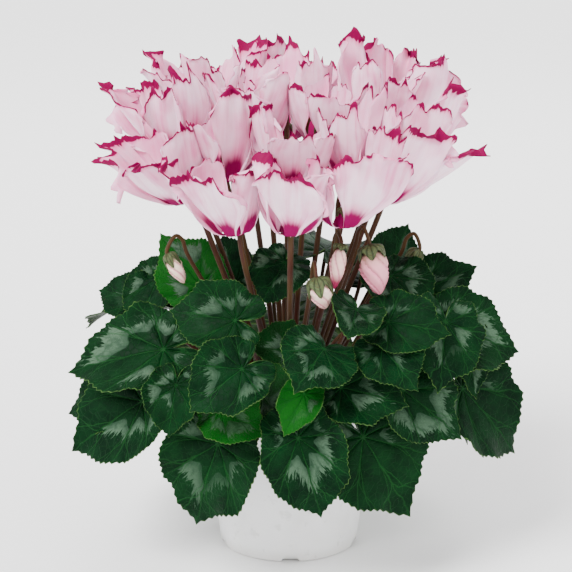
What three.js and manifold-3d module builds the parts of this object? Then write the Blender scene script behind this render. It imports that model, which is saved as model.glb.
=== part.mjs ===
// A potted cyclamen: a white plastic pot of soil, a flat tuber that carries every leaf stalk and
// flower stalk, heart-shaped leaves with toothed edges, nodding blooms of five swept-up petals, and
// hooked buds.
// Millimetres, +Z up. The origin is the centre of the pot's flat base. -Y is the plant's show side.
import * as THREE from "three";
import { mergeVertices } from "three/addons/utils/BufferGeometryUtils.js";
import Module from "manifold-3d";

const wasm = await Module();
wasm.setup();

// Driving dimensions
const POT = { baseRadius: 50, topRadius: 63, height: 105, wall: 1.8, floor: 2.4, rimDrop: 10, rimOut: 2.2 };
const NOTCH = { count: 5, width: 12, height: 4, depth: 5 };
const SOIL = { top: 90, gap: 0.3 };
const TUBER = { radius: 30, halfHeight: 17, centre: 86 };
const BLADE = { thickness: 0.8, tipShare: 0.81, small: 50, toothShare: 0.03 };
const EDGE_POINTS = { usual: 14, rear: 10, small: 12 };
const LEAF_STALK = { radius: 1.6, sides: 4, steps: 3, gap: 0.35 };
const FLOWER_STALK = { radius: 2.0, sides: 5 };
const PETAL = {
  thickness: 0.8,
  halfWidth: 36,
  flare: 4,
  belly: 6,
  lean: 7,
  sector: 63,
  lap: 0.3,
  columns: 4,
  rows: 3,
  count: 5,
};
const NOSE = { mouthDepth: 1.5, neckRadius: 3.4, length: 9, offset: 10.5, hookTop: 20 };
const CELL_APEX = [0, 0, 75]; // the blooms stand in cones that meet at this point in the tuber
const CELL_MARGIN = 1.1;
const CLEARANCE = 0.5;
const SIMPLER = 0.15; // a joined solid is thinned out as far as its skin moves by no more than this

// A leaf that would cut another piece is shifted to the nearest free place. A shift in depth counts
// for less than one across, because it shows less.
const SHIFT = { step: 3, across: 18, depth: 30, height: 18, depthShare: 0.35 };
const TOUCH = { least: 0.3, most: 30 }; // how deep a leaf may press into the one it is on, in mm3

const DEGREE = Math.PI / 180;
const UP = new THREE.Vector3(0, 0, 1);

const COLOUR = {
  pot: new THREE.MeshStandardMaterial({ color: 0xe9e9ea, roughness: 0.55 }),
  soil: new THREE.MeshStandardMaterial({ color: 0x2b1d14, roughness: 1.0 }),
  stalk: new THREE.MeshStandardMaterial({ color: 0x6b4238, roughness: 0.6 }),
  leaf: new THREE.MeshStandardMaterial({ color: 0x1f4a30, roughness: 0.5 }),
  petal: new THREE.MeshStandardMaterial({ color: 0xf2cfd9, roughness: 0.6 }),
  bud: new THREE.MeshStandardMaterial({ color: 0xf3dcd8, roughness: 0.6 }),
};

// Leaves of the show side, from the innermost to the outermost. `at` is where the stalk meets the
// blade and `tip` is the leaf's point. cup raises the blade's two sides, droop bends its length and
// lean, where it is given, turns the blade about its length, all in degrees. A leaf with `on` touches
// that leaf and is one piece with it.
const LEAVES = [
  { name: "leaf_left_back", at: [-38, 28, 187], tip: [-49, 44, 219], cup: 25, droop: 15, width: 0.95 },
  { name: "leaves_right_back", at: [70, 8, 199], tip: [86, 28, 230], cup: 20, droop: 15, width: 1.0 },
  { on: "leaves_right_back", at: [97, 0, 187], tip: [133, 14, 200], cup: 20, droop: 30, width: 1.0 },
  { name: "leaves_left_far", at: [-105, 5, 178], tip: [-138, 18, 184], cup: 20, droop: 30, width: 1.0 },
  { name: "leaves_middle", at: [2, -72, 163], tip: [-26, -92, 176], cup: 25, droop: 20, width: 1.05 },
  { on: "leaves_middle", at: [-18, -93, 141], tip: [6, -118, 155], cup: 25, droop: 20, width: 1.0 },
  { name: "leaves_left_low", at: [-118, -50, 124], tip: [-155, -30, 106], cup: 15, droop: 25, width: 1.0 },
  { on: "leaves_left_low", at: [-101, -72, 128], tip: [-150, -56, 87], cup: 25, droop: 20, width: 1.0 },
  {
    name: "leaf_left_large",
    at: [-86, -68, 165],
    tip: [-154, -58, 147],
    cup: 25,
    droop: 15,
    width: 0.88,
    lean: 12,
  },
  { on: "leaves_left_far", at: [-93, -20, 201], tip: [-107, -44, 168], cup: 40, droop: 25, width: 0.95 },
  { name: "leaf_left_upright", at: [-62, -20, 197], tip: [-89, 2, 227], cup: 20, droop: 15, width: 1.0 },
  { name: "leaf_left_small", at: [-76, -100, 150], tip: [-81, -114, 118], cup: 42, droop: 15, width: 1.1 },
  { name: "leaf_low_edge", at: [-46, -105, 134], tip: [-15, -128, 125], cup: 25, droop: 20, width: 1.0 },
  { name: "leaf_front_left", at: [-45, -108, 115], tip: [-62, -98, 52], cup: 25, droop: 22, width: 0.95 },
  { name: "leaf_front_right", at: [50, -106, 115], tip: [81, -104, 60], cup: 15, droop: 22, width: 1.1 },
  { name: "leaf_front_middle", at: [6, -118, 122], tip: [22, -122, 66], cup: 35, droop: 22, width: 0.92 },
  { name: "leaf_right_low_2", at: [121, -50, 131], tip: [163, -35, 78], cup: 30, droop: 15, width: 0.95 },
  { name: "leaf_right_low", at: [77, -92, 144], tip: [115, -85, 108], cup: 20, droop: 25, width: 1.0 },
  { name: "leaf_right_dark", at: [107, -68, 185], tip: [100, -95, 144], cup: 25, droop: 25, width: 1.0 },
  { name: "leaves_right_large", at: [105, -50, 180], tip: [157, -38, 160], cup: 25, droop: 28, width: 0.98 },
  { on: "leaves_right_large", at: [125, -62, 169], tip: [132, -76, 131], cup: 50, droop: 15, width: 0.8 },
  { name: "leaf_middle_right", at: [35, -112, 150], tip: [79, -119, 140], cup: 25, droop: 25, width: 1.0 },
  { name: "leaf_right_round", at: [62, -100, 176], tip: [85, -119, 153], cup: 15, droop: 25, width: 1.1 },
  { name: "leaf_right_wavy", at: [67, -80, 191], tip: [107, -87, 184], cup: 25, droop: 30, width: 1.0 },
  { name: "leaf_right_upper", at: [70, -42, 210], tip: [97, -63, 186], cup: 20, droop: 25, width: 1.05 },
  { name: "leaf_middle_heart", at: [23, -115, 180], tip: [4, -145, 160], cup: 10, droop: 35, width: 1.15 },
  { name: "leaf_middle_bowl", at: [42, -88, 201], tip: [36, -118, 190], cup: 45, droop: 10, width: 1.15 },
  { name: "leaf_left_bowl", at: [-31, -124, 169], tip: [-65, -139, 145], cup: 30, droop: 15, width: 1.12 },
  { name: "leaf_left_shield", at: [-36, -92, 193], tip: [-81, -79, 196], cup: 25, droop: 20, width: 1.0 },
  { name: "leaf_middle_upper", at: [-6, -58, 215], tip: [-22, -82, 192], cup: 20, droop: 30, width: 1.0 },
  { name: "leaf_middle_young", at: [10, -125, 152], tip: [-3, -143, 130], cup: 50, droop: 10, width: 0.9 },
];

// Leaves of the far side stand in tiers, spread evenly between two bearings, which are counted from
// the show side. Each pair of neighbours in a tier is one piece.
const BACK_TIERS = [
  { name: "rear_low", count: 5, from: 112, to: 252, at: [98, 126], tip: [140, 62], width: 1.2 },
  { name: "rear_mid", count: 5, from: 98, to: 262, at: [88, 171], tip: [146, 143], width: 1.15 },
  { name: "rear_high", count: 4, from: 112, to: 240, at: [60, 198], tip: [116, 190], width: 1.1 },
];
const BACK_BEND = { cup: 24, droop: 28 };

// Blooms: `nose` is the middle of the nodding mouth, `axis` is the way the petals sweep, `splay` is how
// far they stand off from it and `length` is how long they are.
const BLOOMS = [
  { nose: [-70, -50, 266], axis: [-0.36, -0.04, 0.92], splay: 30, length: 60 },
  { nose: [-36, -84, 251], axis: [-0.14, 0.0, 1.0], splay: 33, length: 64 },
  { nose: [1, -100, 255], axis: [0.0, 0.0, 1.0], splay: 27, length: 63 },
  { nose: [36, -86, 257], axis: [0.04, 0.0, 1.0], splay: 32, length: 63 },
  { nose: [62, -58, 268], axis: [0.3, -0.05, 0.94], splay: 28, length: 60 },
  { nose: [-78, -8, 290], axis: [-0.2, 0.05, 0.97], splay: 28, length: 60 },
  { nose: [-44, -41, 278], axis: [-0.1, 0.02, 1.0], splay: 32, length: 70 },
  { nose: [2, -55, 276], axis: [0.0, 0.0, 1.0], splay: 34, length: 70 },
  { nose: [46, -42, 278], axis: [0.04, 0.02, 1.0], splay: 30, length: 70 },
  { nose: [80, -14, 284], axis: [0.08, 0.05, 1.0], splay: 24, length: 60 },
  { nose: [-60, 36, 298], axis: [-0.12, 0.12, 0.98], splay: 30, length: 66 },
  { nose: [-24, 4, 294], axis: [-0.04, 0.02, 1.0], splay: 34, length: 74 },
  { nose: [22, 6, 294], axis: [0.04, 0.02, 1.0], splay: 34, length: 74 },
  { nose: [58, 24, 298], axis: [0.06, 0.05, 1.0], splay: 30, length: 68 },
  { nose: [76, 44, 292], axis: [0.06, 0.15, 0.98], splay: 22, length: 64 },
  { nose: [-2, 48, 288], axis: [0.0, 0.04, 1.0], splay: 34, length: 80 },
  { nose: [-36, 86, 284], axis: [-0.2, 0.3, 0.92], splay: 32, length: 66 },
  { nose: [36, 84, 284], axis: [0.2, 0.3, 0.92], splay: 32, length: 66 },
];

// Buds: `hook` is the top of the bent stalk, `neck` the top of the bud and `tip` its point.
const BUDS = [
  { name: "bud_left", hook: [-78, -46, 240], neck: [-84, -48, 229], tip: [-72, -52, 208], radius: 5.5 },
  { name: "bud_middle", hook: [17, -92, 233], neck: [18, -99, 226], tip: [24, -102, 204], radius: 8.5 },
  { name: "bud_right_pink", hook: [50, -74, 253], neck: [54, -78, 243], tip: [61, -84, 209], radius: 10 },
  { name: "bud_right_small", hook: [88, -16, 234], neck: [92, -18, 224], tip: [82, -21, 208], radius: 6 },
  { name: "bud_hanging", hook: [33, -79, 250], neck: [35, -88, 246], tip: [30, -92, 215], radius: 5.5 },
];

/** A repeatable number from 0 to 1 for a whole number n. */
function chance(n) {
  const wave = Math.sin(n * 12.9898 + 4.1414) * 43758.5453;
  return wave - Math.floor(wave);
}

const vector = (p) => new THREE.Vector3(p[0], p[1], p[2]);

/** A closed three.js geometry as a solid. */
function solidOf(geometry) {
  const bare = geometry.clone();
  bare.deleteAttribute("normal");
  bare.deleteAttribute("uv");
  const merged = mergeVertices(bare, 1e-4);
  return new wasm.Manifold(
    new wasm.Mesh({
      numProp: 3,
      vertProperties: new Float32Array(merged.attributes.position.array),
      triVerts: new Uint32Array(merged.index.array),
    }),
  );
}

/** A solid as a three.js geometry. */
function geometryOf(solid) {
  const mesh = solid.getMesh();
  return new THREE.BufferGeometry()
    .setAttribute("position", new THREE.BufferAttribute(new Float32Array(mesh.vertProperties), 3))
    .setIndex(new THREE.BufferAttribute(new Uint32Array(mesh.triVerts), 1));
}

/** An open surface, given as points, triangles and its edge's loop, thickened into a closed solid. */
function thicken(points, triangles, loop, thickness) {
  const surface = new THREE.BufferGeometry().setFromPoints(points).setIndex(triangles);
  surface.computeVertexNormals();
  const normal = surface.getAttribute("normal");
  const all = [];
  for (const side of [1, -1])
    points.forEach((p, i) => {
      const n = new THREE.Vector3().fromBufferAttribute(normal, i);
      all.push(p.clone().addScaledVector(n, (side * thickness) / 2));
    });
  const under = points.length;
  const faces = [...triangles];
  for (let i = 0; i < triangles.length; i += 3)
    faces.push(triangles[i] + under, triangles[i + 2] + under, triangles[i + 1] + under);
  loop.forEach((a, i) => {
    const b = loop[(i + 1) % loop.length];
    faces.push(a, a + under, b + under, a, b + under, b);
  });
  return solidOf(new THREE.BufferGeometry().setFromPoints(all).setIndex(faces));
}

/** A line through given points, whose stations are the points themselves, however far apart they lie. */
class Line extends THREE.CatmullRomCurve3 {
  constructor(points) {
    super(points, false, "centripetal");
  }

  getPointAt(share, target) {
    return this.getPoint(share, target);
  }

  getTangentAt(share, target) {
    return this.getTangent(share, target);
  }
}

/** A round tube along a curve. */
function tube(curve, radius, sides, steps) {
  const section = new THREE.Shape();
  for (let i = 0; i < sides; i++) {
    const turn = (2 * Math.PI * i) / sides;
    const corner = [radius * Math.cos(turn), radius * Math.sin(turn)];
    if (i) section.lineTo(...corner);
    else section.moveTo(...corner);
  }
  return solidOf(new THREE.ExtrudeGeometry(section, { steps, extrudePath: curve, bevelEnabled: false }));
}

// Leaves

/** The distance from the stalk to a leaf's edge, as a share of its length, theta from the tip. */
function heartRadius(theta) {
  const turn = Math.abs(theta > Math.PI ? theta - 2 * Math.PI : theta);
  const round = 0.17 * Math.cos(turn) + Math.sqrt(0.21 - (0.17 * Math.sin(turn)) ** 2);
  const point = 0.185 * Math.exp(-turn / 0.24);
  const lobe = 0.08 * Math.exp(-(((turn - 2.5) / 0.45) ** 2));
  const sinus = 1 - 0.85 * Math.exp(-(((Math.PI - turn) / 0.22) ** 2));
  return (round + point + lobe) * sinus;
}

/** A leaf's own axes: its chord runs from the stalk to the tip, and its face looks out and up. */
function leafFrame(leaf) {
  const at = vector(leaf.at);
  const chord = vector(leaf.tip).sub(at);
  const along = chord.clone().normalize();
  const outward = new THREE.Vector3(at.x, at.y, 0).normalize();
  const face = leaf.rear
    ? UP.clone().multiplyScalar(0.75).addScaledVector(outward, 0.65)
    : UP.clone().multiplyScalar(0.6).addScaledVector(outward, 0.4).add(new THREE.Vector3(0, -0.55, 0));
  face.addScaledVector(along, -face.dot(along)).normalize();
  face.applyAxisAngle(along, (leaf.lean ?? 0) * DEGREE);
  const half = (leaf.droop * DEGREE) / 2;
  const length = (chord.length() * half) / Math.sin(half) / BLADE.tipShare;
  const t = along.clone().multiplyScalar(Math.cos(half)).addScaledVector(face, Math.sin(half));
  const n = face.clone().multiplyScalar(Math.cos(half)).addScaledVector(along, -Math.sin(half));
  return { at, t, n, s: new THREE.Vector3().crossVectors(n, t), length };
}

/** How many points a leaf's edge has. */
function edgeCount(leaf, frame) {
  if (leaf.rear) return EDGE_POINTS.rear;
  return frame.length < BLADE.small ? EDGE_POINTS.small : EDGE_POINTS.usual;
}

/** A point of a leaf's surface: rho runs from the stalk to the edge and theta round from the tip. */
function leafPoint(leaf, frame, rho, theta) {
  const { length } = frame;
  const teeth = 0.5 * edgeCount(leaf, frame);
  const tooth = 1 + BLADE.toothShare * Math.cos(teeth * theta) * (rho > 0.99 ? 1 : 0);
  const reach = rho * length * heartRadius(theta) * tooth;
  const side = reach * Math.sin(theta) * leaf.width;
  const forward = reach * Math.cos(theta);
  const ripple = 0.03 * length * rho * rho * Math.sin(3 * theta + leaf.wave);
  const cupBend = (leaf.cup * DEGREE) / (0.5 * length);
  const across = Math.sin(cupBend * side) / cupBend;
  const rise = ripple + (1 - Math.cos(cupBend * side)) / cupBend;
  const droopBend = (leaf.droop * DEGREE) / (BLADE.tipShare * length);
  const radius = 1 / droopBend + rise;
  const ahead = radius * Math.sin(droopBend * forward);
  const height = radius * Math.cos(droopBend * forward) - 1 / droopBend;
  return frame.at
    .clone()
    .addScaledVector(frame.s, across)
    .addScaledVector(frame.t, ahead)
    .addScaledVector(frame.n, height);
}

/** A leaf blade: a heart-shaped sheet in two rings round the stalk, with a toothed edge. */
function bladeSolid(leaf, thickness) {
  const frame = leafFrame(leaf);
  const count = edgeCount(leaf, frame);
  const points = [frame.at.clone()];
  for (const rho of [0.55, 1])
    for (let i = 0; i < count; i++) points.push(leafPoint(leaf, frame, rho, (2 * Math.PI * i) / count));
  const triangles = [];
  const loop = [];
  for (let i = 0; i < count; i++) {
    const a = 1 + i;
    const b = 1 + ((i + 1) % count);
    triangles.push(0, b, a, a, b, b + count, a, b + count, a + count);
    loop.push(a + count);
  }
  return thicken(points, triangles, loop.reverse(), thickness);
}

/** The line of a leaf's stalk from the tuber to the blade. A route gives its swing and its rise. */
function leafStalkCurve(leaf, route) {
  const frame = leafFrame(leaf);
  const bearing = Math.atan2(frame.at.y, frame.at.x);
  const tilt = route.arrival * DEGREE;
  const arrival = frame.n.clone().multiplyScalar(Math.cos(tilt)).addScaledVector(frame.t, Math.sin(tilt));
  const seat = BLADE.thickness / 2 + LEAF_STALK.gap + LEAF_STALK.radius * Math.sin(tilt);
  const end = frame.at.clone().addScaledVector(frame.n, -seat);
  const root = 12 + 8 * chance(leaf.seed);
  const start = new THREE.Vector3(Math.cos(bearing), Math.sin(bearing), 0).multiplyScalar(root);
  start.z = tuberHeight(root) - 3;
  const reach = end.distanceTo(start);
  const turned = bearing + route.swing * DEGREE;
  const first = start.clone();
  first.x += 0.25 * reach * Math.cos(turned);
  first.y += 0.25 * reach * Math.sin(turned);
  first.z += 0.3 * reach + route.raise;
  const second = end.clone().addScaledVector(arrival, -0.3 * reach);
  return new THREE.CubicBezierCurve3(start, first, second, end);
}

/** The height of the tuber's skin at a distance from the axis. */
function tuberHeight(radius) {
  return TUBER.centre + TUBER.halfHeight * Math.sqrt(1 - (radius / TUBER.radius) ** 2);
}

/** A leaf shifted by an offset. */
function shifted(leaf, offset) {
  const move = (p) => p.map((value, k) => value + offset[k]);
  return { ...leaf, at: move(leaf.at), tip: move(leaf.tip) };
}

/** Every shift a leaf may try, the least visible first. */
function shifts() {
  const found = [];
  const { step, across, depth, height, depthShare } = SHIFT;
  for (let x = -across; x <= across; x += step)
    for (let y = -depth; y <= depth; y += step)
      for (let z = -height; z <= height; z += step)
        found.push({ offset: [x, y, z], cost: Math.hypot(x, depthShare * y, z) });
  return found.sort((p, q) => p.cost - q.cost).map((choice) => choice.offset);
}

/** Every way a leaf's stalk may try to reach its blade, the straightest first. */
function routes() {
  const found = [];
  for (const arrival of [20, 45, 70, 88])
    for (const raise of [0, -9, 9, 18])
      for (const swing of [0, 12, -12, 24, -24, 36, -36])
        found.push({ arrival, raise, swing, cost: arrival / 3 + Math.abs(raise) + Math.abs(swing) });
  return found.sort((p, q) => p.cost - q.cost);
}

/** The leaves of the far side, tier by tier. */
function rearLeaves() {
  const made = [];
  for (const tier of BACK_TIERS)
    for (let i = 0; i < tier.count; i++) {
      const key = made.length + 40;
      const share = i / (tier.count - 1);
      const bearing = (tier.from + (tier.to - tier.from) * share + 8 * (chance(key) - 0.5) - 90) * DEGREE;
      const aside = bearing + 16 * (chance(key + 100) - 0.5) * DEGREE;
      const drop = 12 * (chance(key + 200) - 0.5);
      const place = ([radius, height], turn) => [
        radius * Math.cos(turn),
        radius * Math.sin(turn),
        height + drop,
      ];
      const first = i % 2 === 0;
      const alone = first && i === tier.count - 1;
      const piece = `${alone ? "leaf" : "leaves"}_${tier.name}_${Math.floor(i / 2) + 1}`;
      made.push({
        ...(first ? { name: piece } : { on: piece }),
        rear: true,
        at: place(tier.at, bearing),
        tip: place(tier.tip, aside),
        lean: 24 * (chance(key + 300) - 0.5),
        ...BACK_BEND,
        width: tier.width,
      });
    }
  return made;
}

// Blooms

/** The cone that a bloom may fill: its middle, and the planes that part it from every other bloom. */
function bloomCell(blooms, index) {
  const apex = vector(CELL_APEX);
  const middle = (b) => vector(b.nose).addScaledVector(vector(b.axis).normalize(), 25);
  const way = (b) => middle(b).sub(apex).normalize();
  const centre = middle(blooms[index]);
  const planes = [];
  blooms.forEach((other, j) => {
    if (j === index) return;
    const normal = way(other).sub(way(blooms[index])).normalize();
    planes.push({ normal, distance: -centre.clone().sub(apex).dot(normal) - CELL_MARGIN });
  });
  return { centre, planes };
}

/** Draws a point in towards the cell's middle, so that it stays inside the cell as a crowded petal does. */
function pressInto(cell, point) {
  const ray = point.clone().sub(cell.centre);
  const far = ray.length();
  if (far < 1e-6) return point;
  ray.divideScalar(far);
  let sum = 0;
  for (const { normal, distance } of cell.planes) sum += (Math.max(0, ray.dot(normal)) / distance) ** 12;
  const limit = sum > 0 ? sum ** (-1 / 12) : 1e9;
  const share = far / limit;
  if (share < 0.7) return point;
  const pressed = 1 - 0.3 * Math.exp(-(share - 0.7) / 0.3);
  return cell.centre.clone().addScaledVector(ray, pressed * limit);
}

/** A bloom's own axes: a along the petals' sweep, b towards the side where its stalk comes past. */
function bloomFrame(bloom) {
  const nose = vector(bloom.nose);
  const a = vector(bloom.axis).normalize();
  const inward = new THREE.Vector3(-nose.x, -nose.y + 12, 0).normalize();
  const b = vector(CELL_APEX).sub(nose).normalize().addScaledVector(inward, 0.35);
  b.addScaledVector(a, -b.dot(a)).normalize();
  return { nose, a, b, c: new THREE.Vector3().crossVectors(a, b) };
}

/** The bearing of petal k round the bloom. The widest gap, at 0, lets the stalk pass. */
function petalTurn(k) {
  return (180 + PETAL.sector * (k - 2)) * DEGREE;
}

/** How far petal k stands off, in degrees. */
function petalSplay(bloom, seed, k) {
  return bloom.splay * (0.5 + 0.9 * chance(seed * 10 + k));
}

/**
 * How far petal k may reach over the side of its sector, as a share. The petals lie like the vanes of
 * a pinwheel, so two neighbours overlap only where the first stands off as far as the second.
 */
function petalLap(bloom, seed, k, u) {
  const first = u > 0 ? k : k - 1;
  if (first < 0 || first > PETAL.count - 2) return 0;
  return petalSplay(bloom, seed, first) > petalSplay(bloom, seed, first + 1) + 1 ? PETAL.lap : 0;
}

/** A point of petal k: u runs across it from -1 to 1 and v from the mouth to the frilled edge. */
function petalPoint(bloom, frame, seed, k, u, v) {
  const key = seed * 10 + k;
  const turn = petalTurn(k);
  const splay = petalSplay(bloom, seed, k) * DEGREE;
  const size = 0.9 + 0.22 * chance(key + 500);
  const rise = v * (1 - 0.2 * Math.abs(u) ** 3) * size * bloom.length;
  const spread = 0.13 + 0.87 * Math.sin(0.5 * Math.PI * Math.min(1, v / 0.55)) ** 1.1;
  const lean = PETAL.lean * (2 * chance(key + 300) - 1) * v * v;
  const full = u * PETAL.halfWidth * size * spread + lean;
  const curl = 0.0055 * full * full;
  const tilt = 0.33 * full * Math.min(1, v / 0.12);
  const flute = 1.6 * v * v * Math.sin(2.5 * Math.PI * u + 6 * chance(key + 900));
  const flare = PETAL.flare * v ** 3 + PETAL.belly * Math.sin(Math.PI * v);
  const sweep = rise * Math.sin(splay) + flare + tilt + flute - curl;
  const out = 5.5 + 6 * (1 - Math.exp(-v / 0.07)) + sweep;
  const reach = out * Math.tan((PETAL.sector / 2) * DEGREE) - PETAL.thickness;
  const room = reach * (1 + petalLap(bloom, seed, k, u) * v * v);
  const side = full / (1 + (Math.abs(full) / room) ** 4) ** 0.25;
  const high = rise * Math.cos(splay) - 1.5 * Math.sin(Math.PI * Math.min(v / 0.14, 1));
  const radial = frame.b.clone().multiplyScalar(Math.cos(turn)).addScaledVector(frame.c, Math.sin(turn));
  const across = new THREE.Vector3().crossVectors(frame.a, radial);
  return frame.nose
    .clone()
    .addScaledVector(radial, out)
    .addScaledVector(across, side)
    .addScaledVector(frame.a, high);
}

/**
 * A bloom in one closed skin. Its sheet is a mouth ringed by the roots of five petals. The sheet is
 * thickened, and behind the mouth it is drawn back into the short tube that meets the stalk.
 */
function bloomSolid(bloom, frame, cell, seed) {
  const { columns, rows, count } = PETAL;
  const stops = [0, 0.2, 0.58, 1];
  const wide = columns + 1;
  const petal = wide * (rows + 1);
  const points = [];
  const triangles = [];
  for (let k = 0; k < count; k++)
    for (let j = 0; j <= rows; j++)
      for (let i = 0; i <= columns; i++) {
        const frill = j === rows ? 0.035 * (i % 2 ? 1 : -1) : 0;
        const p = petalPoint(bloom, frame, seed, k, (2 * i) / columns - 1, stops[j] + frill);
        points.push(pressInto(cell, p));
      }
  for (let k = 0; k < count; k++)
    for (let j = 0; j < rows; j++)
      for (let i = 0; i < columns; i++) {
        const a = k * petal + j * wide + i;
        triangles.push(a, a + 1, a + wide + 1, a, a + wide + 1, a + wide);
      }
  const mouth = points.length;
  points.push(frame.nose.clone().addScaledVector(frame.a, NOSE.mouthDepth));
  const ring = [];
  for (let k = 0; k < count; k++) for (let i = 0; i < wide; i++) ring.push(k * petal + i);
  const disc = ring.flatMap((a, i) => [mouth, ring[(i + 1) % ring.length], a]);
  const surface = new THREE.BufferGeometry().setFromPoints(points).setIndex([...triangles, ...disc]);
  surface.computeVertexNormals();
  const normal = surface.getAttribute("normal");
  const all = [];
  for (const side of [1, -1])
    points.forEach((p, i) => {
      const n = new THREE.Vector3().fromBufferAttribute(normal, i);
      all.push(p.clone().addScaledVector(n, (side * PETAL.thickness) / 2));
    });
  const under = points.length;
  const faces = [...triangles, ...disc];
  for (let i = 0; i < triangles.length; i += 3)
    faces.push(triangles[i] + under, triangles[i + 2] + under, triangles[i + 1] + under);
  const wall = (a, b) => faces.push(a, a + under, b + under, a, b + under, b);
  const neck = all.length;
  for (let k = 0; k < count; k++) {
    const turn = petalTurn(k);
    const first = k * petal;
    const next = ((k + 1) % count) * petal;
    for (let j = 0; j < rows; j++) {
      wall(first + (j + 1) * wide, first + j * wide);
      wall(first + j * wide + columns, first + (j + 1) * wide + columns);
    }
    for (let i = 0; i < columns; i++) {
      wall(first + rows * wide + i + 1, first + rows * wide + i);
      faces.push(first + i + under, first + i + 1 + under, neck + k);
    }
    wall(next, first + columns);
    faces.push(first + columns + under, next + under, neck + ((k + 1) % count));
    faces.push(first + columns + under, neck + ((k + 1) % count), neck + k);
    if (k > 1) faces.push(neck, neck + k - 1, neck + k);
    const radial = frame.b.clone().multiplyScalar(Math.cos(turn)).addScaledVector(frame.c, Math.sin(turn));
    all.push(
      frame.nose
        .clone()
        .addScaledVector(frame.a, NOSE.length)
        .addScaledVector(radial, NOSE.neckRadius),
    );
  }
  return solidOf(new THREE.BufferGeometry().setFromPoints(all).setIndex(faces));
}

/** A solid turned on its axis, from a profile of [radius, height], stood along a direction at a point. */
function turned(profile, sides, direction, place) {
  const lathe = new THREE.LatheGeometry(
    profile.map(([r, h]) => new THREE.Vector2(r, h)),
    sides,
  );
  lathe.applyQuaternion(new THREE.Quaternion().setFromUnitVectors(new THREE.Vector3(0, 1, 0), direction));
  lathe.translate(place.x, place.y, place.z);
  return solidOf(lathe);
}

/** The line of a flower stalk: up beside the nose, over in a hook and down to the calyx. */
function flowerStalkCurve(frame) {
  const beside = (up, aside) =>
    frame.nose.clone().addScaledVector(frame.a, up).addScaledVector(frame.b, aside);
  const { offset, hookTop, length } = NOSE;
  const low = beside(-16, offset - 1);
  const apex = vector(CELL_APEX);
  const way = low.clone().sub(apex);
  const start = apex.clone().addScaledVector(way, (TUBER.centre + 12 - apex.z) / way.z);
  const waist = start.clone().lerp(low, 0.5);
  return new Line([
    start,
    waist,
    low,
    beside(2, offset),
    beside(hookTop - 6, offset - 0.5),
    beside(hookTop, offset * 0.55),
    beside(hookTop - 3.5, 1.2),
    beside(length + 2.2, 0),
  ]);
}

/** The green cap of a bloom or a bud, widening from the stalk's end to the petals. */
function calyxSolid(direction, place, radius, length) {
  const profile = [
    [0, 0],
    [radius * 0.95, 0],
    [radius, length * 0.35],
    [0, length + 2.4],
  ];
  return turned(profile, 5, direction, place);
}

// Buds

/** The line of a bud's stalk from the tuber to the hook and down into the bud's cap. */
function budStalkCurve(bud) {
  const hook = vector(bud.hook);
  const neck = vector(bud.neck);
  const bearing = Math.atan2(hook.y, hook.x);
  const start = new THREE.Vector3(12 * Math.cos(bearing), 12 * Math.sin(bearing), TUBER.centre + 12);
  const back = new THREE.Vector3(-Math.cos(bearing), -Math.sin(bearing), 0);
  const rise = hook.clone().addScaledVector(back, 9);
  rise.z -= 14;
  const waist = start.clone().lerp(rise, 0.5).addScaledVector(back, 3);
  const shoulder = hook.clone().addScaledVector(back, 5);
  shoulder.z -= 3;
  return new Line([start, waist, rise, shoulder, hook, neck]);
}

/** A furled bud, pointed at its free end. */
function budSolid(bud) {
  const neck = vector(bud.neck);
  const way = vector(bud.tip).sub(neck);
  const length = way.length();
  const cap = 0.25 * length;
  const profile = [
    [0, cap],
    [bud.radius * 0.8, cap],
    [bud.radius, length * 0.45],
    [bud.radius * 0.7, length * 0.75],
    [bud.radius * 0.2, length],
    [0, length],
  ];
  return turned(profile, 9, way.normalize(), neck);
}

// Pot, soil and tuber

/** The pot: a tapered wall with a rolled rim, a flat floor and drain notches round its lower edge. */
function potSolid() {
  const { baseRadius, topRadius, height, wall, floor, rimDrop, rimOut } = POT;
  const profile = [
    [0, 0],
    [baseRadius - 2, 0],
    [baseRadius, 2],
    [topRadius - 0.4, height - rimDrop],
    [topRadius + rimOut, height - rimDrop + 1],
    [topRadius + rimOut, height - 1],
    [topRadius + rimOut - 1, height],
    [topRadius - wall + 0.6, height],
    [topRadius - wall, height - rimDrop],
    [baseRadius - wall, floor + 1],
    [0, floor + 1],
  ];
  let pot = turned(profile, 24, UP, new THREE.Vector3());
  for (let i = 0; i < NOTCH.count; i++) {
    const box = new THREE.BoxGeometry(2 * NOTCH.depth, NOTCH.width, 2 * NOTCH.height);
    box.translate(baseRadius, 0, 0);
    box.rotateZ(((i + 0.5) * 2 * Math.PI) / NOTCH.count);
    pot = pot.subtract(solidOf(box));
  }
  return pot;
}

/** The tuber: a flattened globe with a lumpy crown. */
function tuberSolid(extra) {
  const globe = new THREE.SphereGeometry(1, 14, 7);
  globe.rotateX(Math.PI / 2);
  globe.scale(TUBER.radius + extra, TUBER.radius + extra, TUBER.halfHeight + extra);
  globe.translate(0, 0, TUBER.centre);
  return solidOf(globe);
}

/** The soil: it fills the pot to below the rim and holds the tuber in a hollow. */
function soilSolid() {
  const { baseRadius, topRadius, height, wall, floor, rimDrop } = POT;
  const slope = (topRadius - baseRadius) / (height - rimDrop);
  const inside = (z) => baseRadius + slope * z - wall - SOIL.gap - 0.6;
  const profile = [
    [0, floor + 1 + SOIL.gap],
    [inside(floor + 1), floor + 1 + SOIL.gap],
    [inside(SOIL.top - 3), SOIL.top - 3],
    [inside(SOIL.top) - 4, SOIL.top],
    [0, SOIL.top],
  ];
  return turned(profile, 20, UP, new THREE.Vector3()).subtract(tuberSolid(SOIL.gap + 0.15));
}

// The plant, put together from its stiffest pieces to its loosest

const plant = new THREE.Group();

/** Adds a solid to the plant as a named mesh. */
function addPiece(name, solid, material) {
  const mesh = new THREE.Mesh(geometryOf(solid), material);
  mesh.name = name;
  plant.add(mesh);
}

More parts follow.
